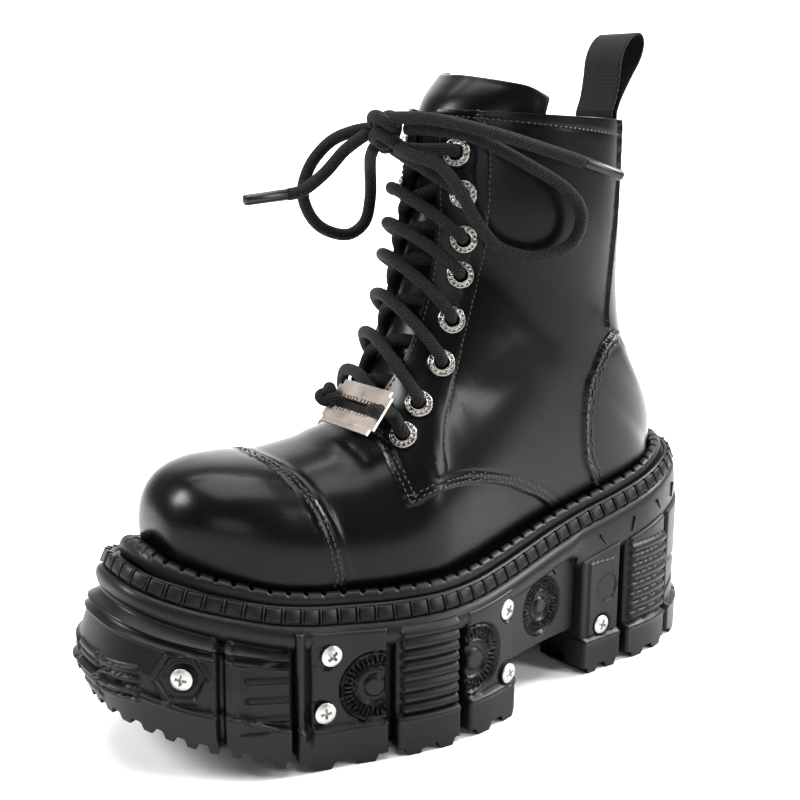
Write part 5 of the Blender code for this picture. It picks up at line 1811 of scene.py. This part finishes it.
def makeTacks():
    # dense block at the front corner of the facing and the tacked slit under the collar
    form = bmesh.new()
    for side in (1, -1):
        for row in range(4):
            for k in range(7):
                tackAt(form, 9.26 + 0.10 * row, (24.0 + 1.45 * k) * mm, side, 0.0013, 0.0005)
        for k in range(8):
            tackAt(form, 26.90 - 0.145 * k, (27.0 + 0.28 * k) * mm, side, 0.0017, 0.0010)
    return pieceFrom(form, "tackStitches", edgePaint)


makeTacks()
print("stitches made")

# pull loop of woven ribbon
pull = {"width": 0.0245, "height": 0.040, "lean": 0.38, "thick": 0.0016}
pullLow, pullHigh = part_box("pull_loop")
pull["y"] = pullLow[1] + 0.0095
pull["z"] = pullHigh[2] - pull["height"] + 0.002


def loopCentre(share):
    # a and b of the folded ribbon: up one side, round the top and down the other
    half = pull["thick"] * 0.55
    if share < 0.22 or share > 0.78:
        u = share / 0.22 if share < 0.22 else (1 - share) / 0.22
        return (-half if share < 0.5 else half), -0.010 + 0.022 * u
    u = (share - 0.22) / 0.56
    angle = math.pi * (1.12 * u - 0.06)
    k = 12 * u
    fat = 0.0068 * math.sin(math.pi * min(1.0, (k + 1.2) / 14.4)) ** 0.5 + half * 0.4
    return -fat * math.cos(angle), 0.0245 + (pull["height"] - 0.0260) * max(0.0, math.sin(angle))


def makePull():
    turns, across = 110, 20
    centre = [Vector(loopCentre(k / turns)) for k in range(turns + 1)]
    for softening in range(6):
        inner = [(a + b * 2 + c) / 4 for a, b, c in zip(centre, centre[1:], centre[2:])]
        centre = [centre[0], *inner, centre[-1]]
    form, spots = gridForm(turns, across, uv=True)
    uv = form.loops.layers.uv["UVMap"]
    for v, (col, row) in spots.items():
        a, b = centre[col]
        lean = pull["lean"] * max(0.0, b - 0.004)
        x = (row / across - 0.5) * pull["width"]
        v.co = Vector((x, pull["y"] + a + lean, pull["z"] + b))
        for loop in v.link_loops:
            loop[uv].uv = (col * 0.0009, row / across)
    form.normal_update()
    bmesh.ops.solidify(form, geom=form.faces, thickness=pull["thick"] * 0.7)
    bmesh.ops.recalc_face_normals(form, faces=form.faces)
    roundOff(form, sharpEdges(form, math.radians(60)), 0.0003, 1)
    bmesh.ops.translate(form, verts=form.verts, vec=((pullLow[0] + pullHigh[0]) / 2, 0, 0))
    piece = pieceFrom(form, "pullRibbon", ribbonCloth)
    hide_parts("pull_loop")
    return piece


makePull()

# insole
def makeInsole():
    low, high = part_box("insole")
    cols, rows = 70, 18
    form, spots = gridForm(cols, rows)
    reach = (low[1] - boot["shift"][1], high[1] - boot["shift"][1])
    for v, (col, row) in spots.items():
        share = 0.5 - 0.5 * math.cos(math.pi * col / cols)
        y = reach[0] + (reach[1] - reach[0]) * share
        left, right = edgeX(featherInner, y) + 0.0024, edgeX(featherOuter, y) - 0.0024
        x = left + (right - left) * row / rows
        edge = abs(2 * row / rows - 1) ** 6
        v.co = (x, y, rimZ(y) + 0.0125 - 0.0010 * edge)
    bmesh.ops.recalc_face_normals(form, faces=form.faces)
    form.normal_update()
    if form.faces[0].normal.z < 0:
        bmesh.ops.reverse_faces(form, faces=form.faces)
    bmesh.ops.solidify(form, geom=form.faces, thickness=0.0024)
    place(form)
    piece = pieceFrom(form, "insolePad", liningCloth)
    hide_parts("insole")
    return piece


makeInsole()
print("small parts made")

# stage and lights
def makeStage():
    form = bmesh.new()
    bmesh.ops.create_grid(form, x_segments=4, y_segments=60, size=3.0)
    for v in form.verts:
        # floor that curves up far behind the boot
        d = max(0.0, v.co.y - 1.2)
        v.co.z = min(2.4, 0.9 * d * d)
        v.co.y = min(v.co.y, 2.4)
    turn = Matrix.Rotation(math.atan2(-camera["ahead"].x, camera["ahead"].y), 4, "Z")
    bmesh.ops.transform(form, matrix=turn, verts=form.verts)
    floor = pieceFrom(form, "floor", floorPaint, body=False)
    return floor


floorPaint = bpy.data.materials.new("paleFloor")
floorPaint.use_nodes = True
floorShader = floorPaint.node_tree.nodes["Principled BSDF"]
floorShader.inputs["Base Color"].default_value = (0.90, 0.90, 0.90, 1.0)
floorShader.inputs["Roughness"].default_value = 0.75
makeStage()


def softbox(name, spot, target, size, power):
    lamp = bpy.data.lights.new(name, "AREA")
    lamp.shape = "RECTANGLE"
    lamp.size, lamp.size_y = size
    lamp.energy = power
    holder = bpy.data.objects.new(name, lamp)
    holder.location = spot
    holder.rotation_mode = "QUATERNION"
    holder.rotation_quaternion = (Vector(target) - Vector(spot)).to_track_quat("-Z", "Y")
    scene.collection.objects.link(holder)
    return holder


softbox("topBox", (0.0, 0.0, 1.9), (0, 0, 0.1), (1.5, 1.5), 38.0)
softbox("wallBox", (-0.75, 0.51, 2.0), (-2.0, 1.35, 0.7), (2.4, 0.9), 60.0)
softbox("leftBox", (-0.7, -1.5, 1.2), (0, 0, 0.12), (0.5, 0.9), 20.0)
softbox("rightBox", (1.3, 0.9, 0.9), (0, 0.05, 0.15), (0.35, 1.0), 16.0)
softbox("frontBox", (1.5, -1.0, 0.5), (0, 0, 0.06), (1.0, 0.6), 5.0)
softbox("heelFloorBox", (0.28, 1.05, 0.85), (0.16, 0.82, 0), (0.35, 0.5), 22.0)
softbox("toeFloorBox", (-0.35, -1.1, 0.85), (-0.22, -0.8, 0), (0.5, 0.4), 9.5)
world = bpy.data.worlds.new("room")
scene.world = world
world.use_nodes = True
world.node_tree.nodes["Background"].inputs[0].default_value = (0.93, 0.94, 0.96, 1.0)
world.node_tree.nodes["Background"].inputs[1].default_value = 0.12
scene.view_settings.view_transform = "Standard"
scene.view_settings.look = "Medium High Contrast"
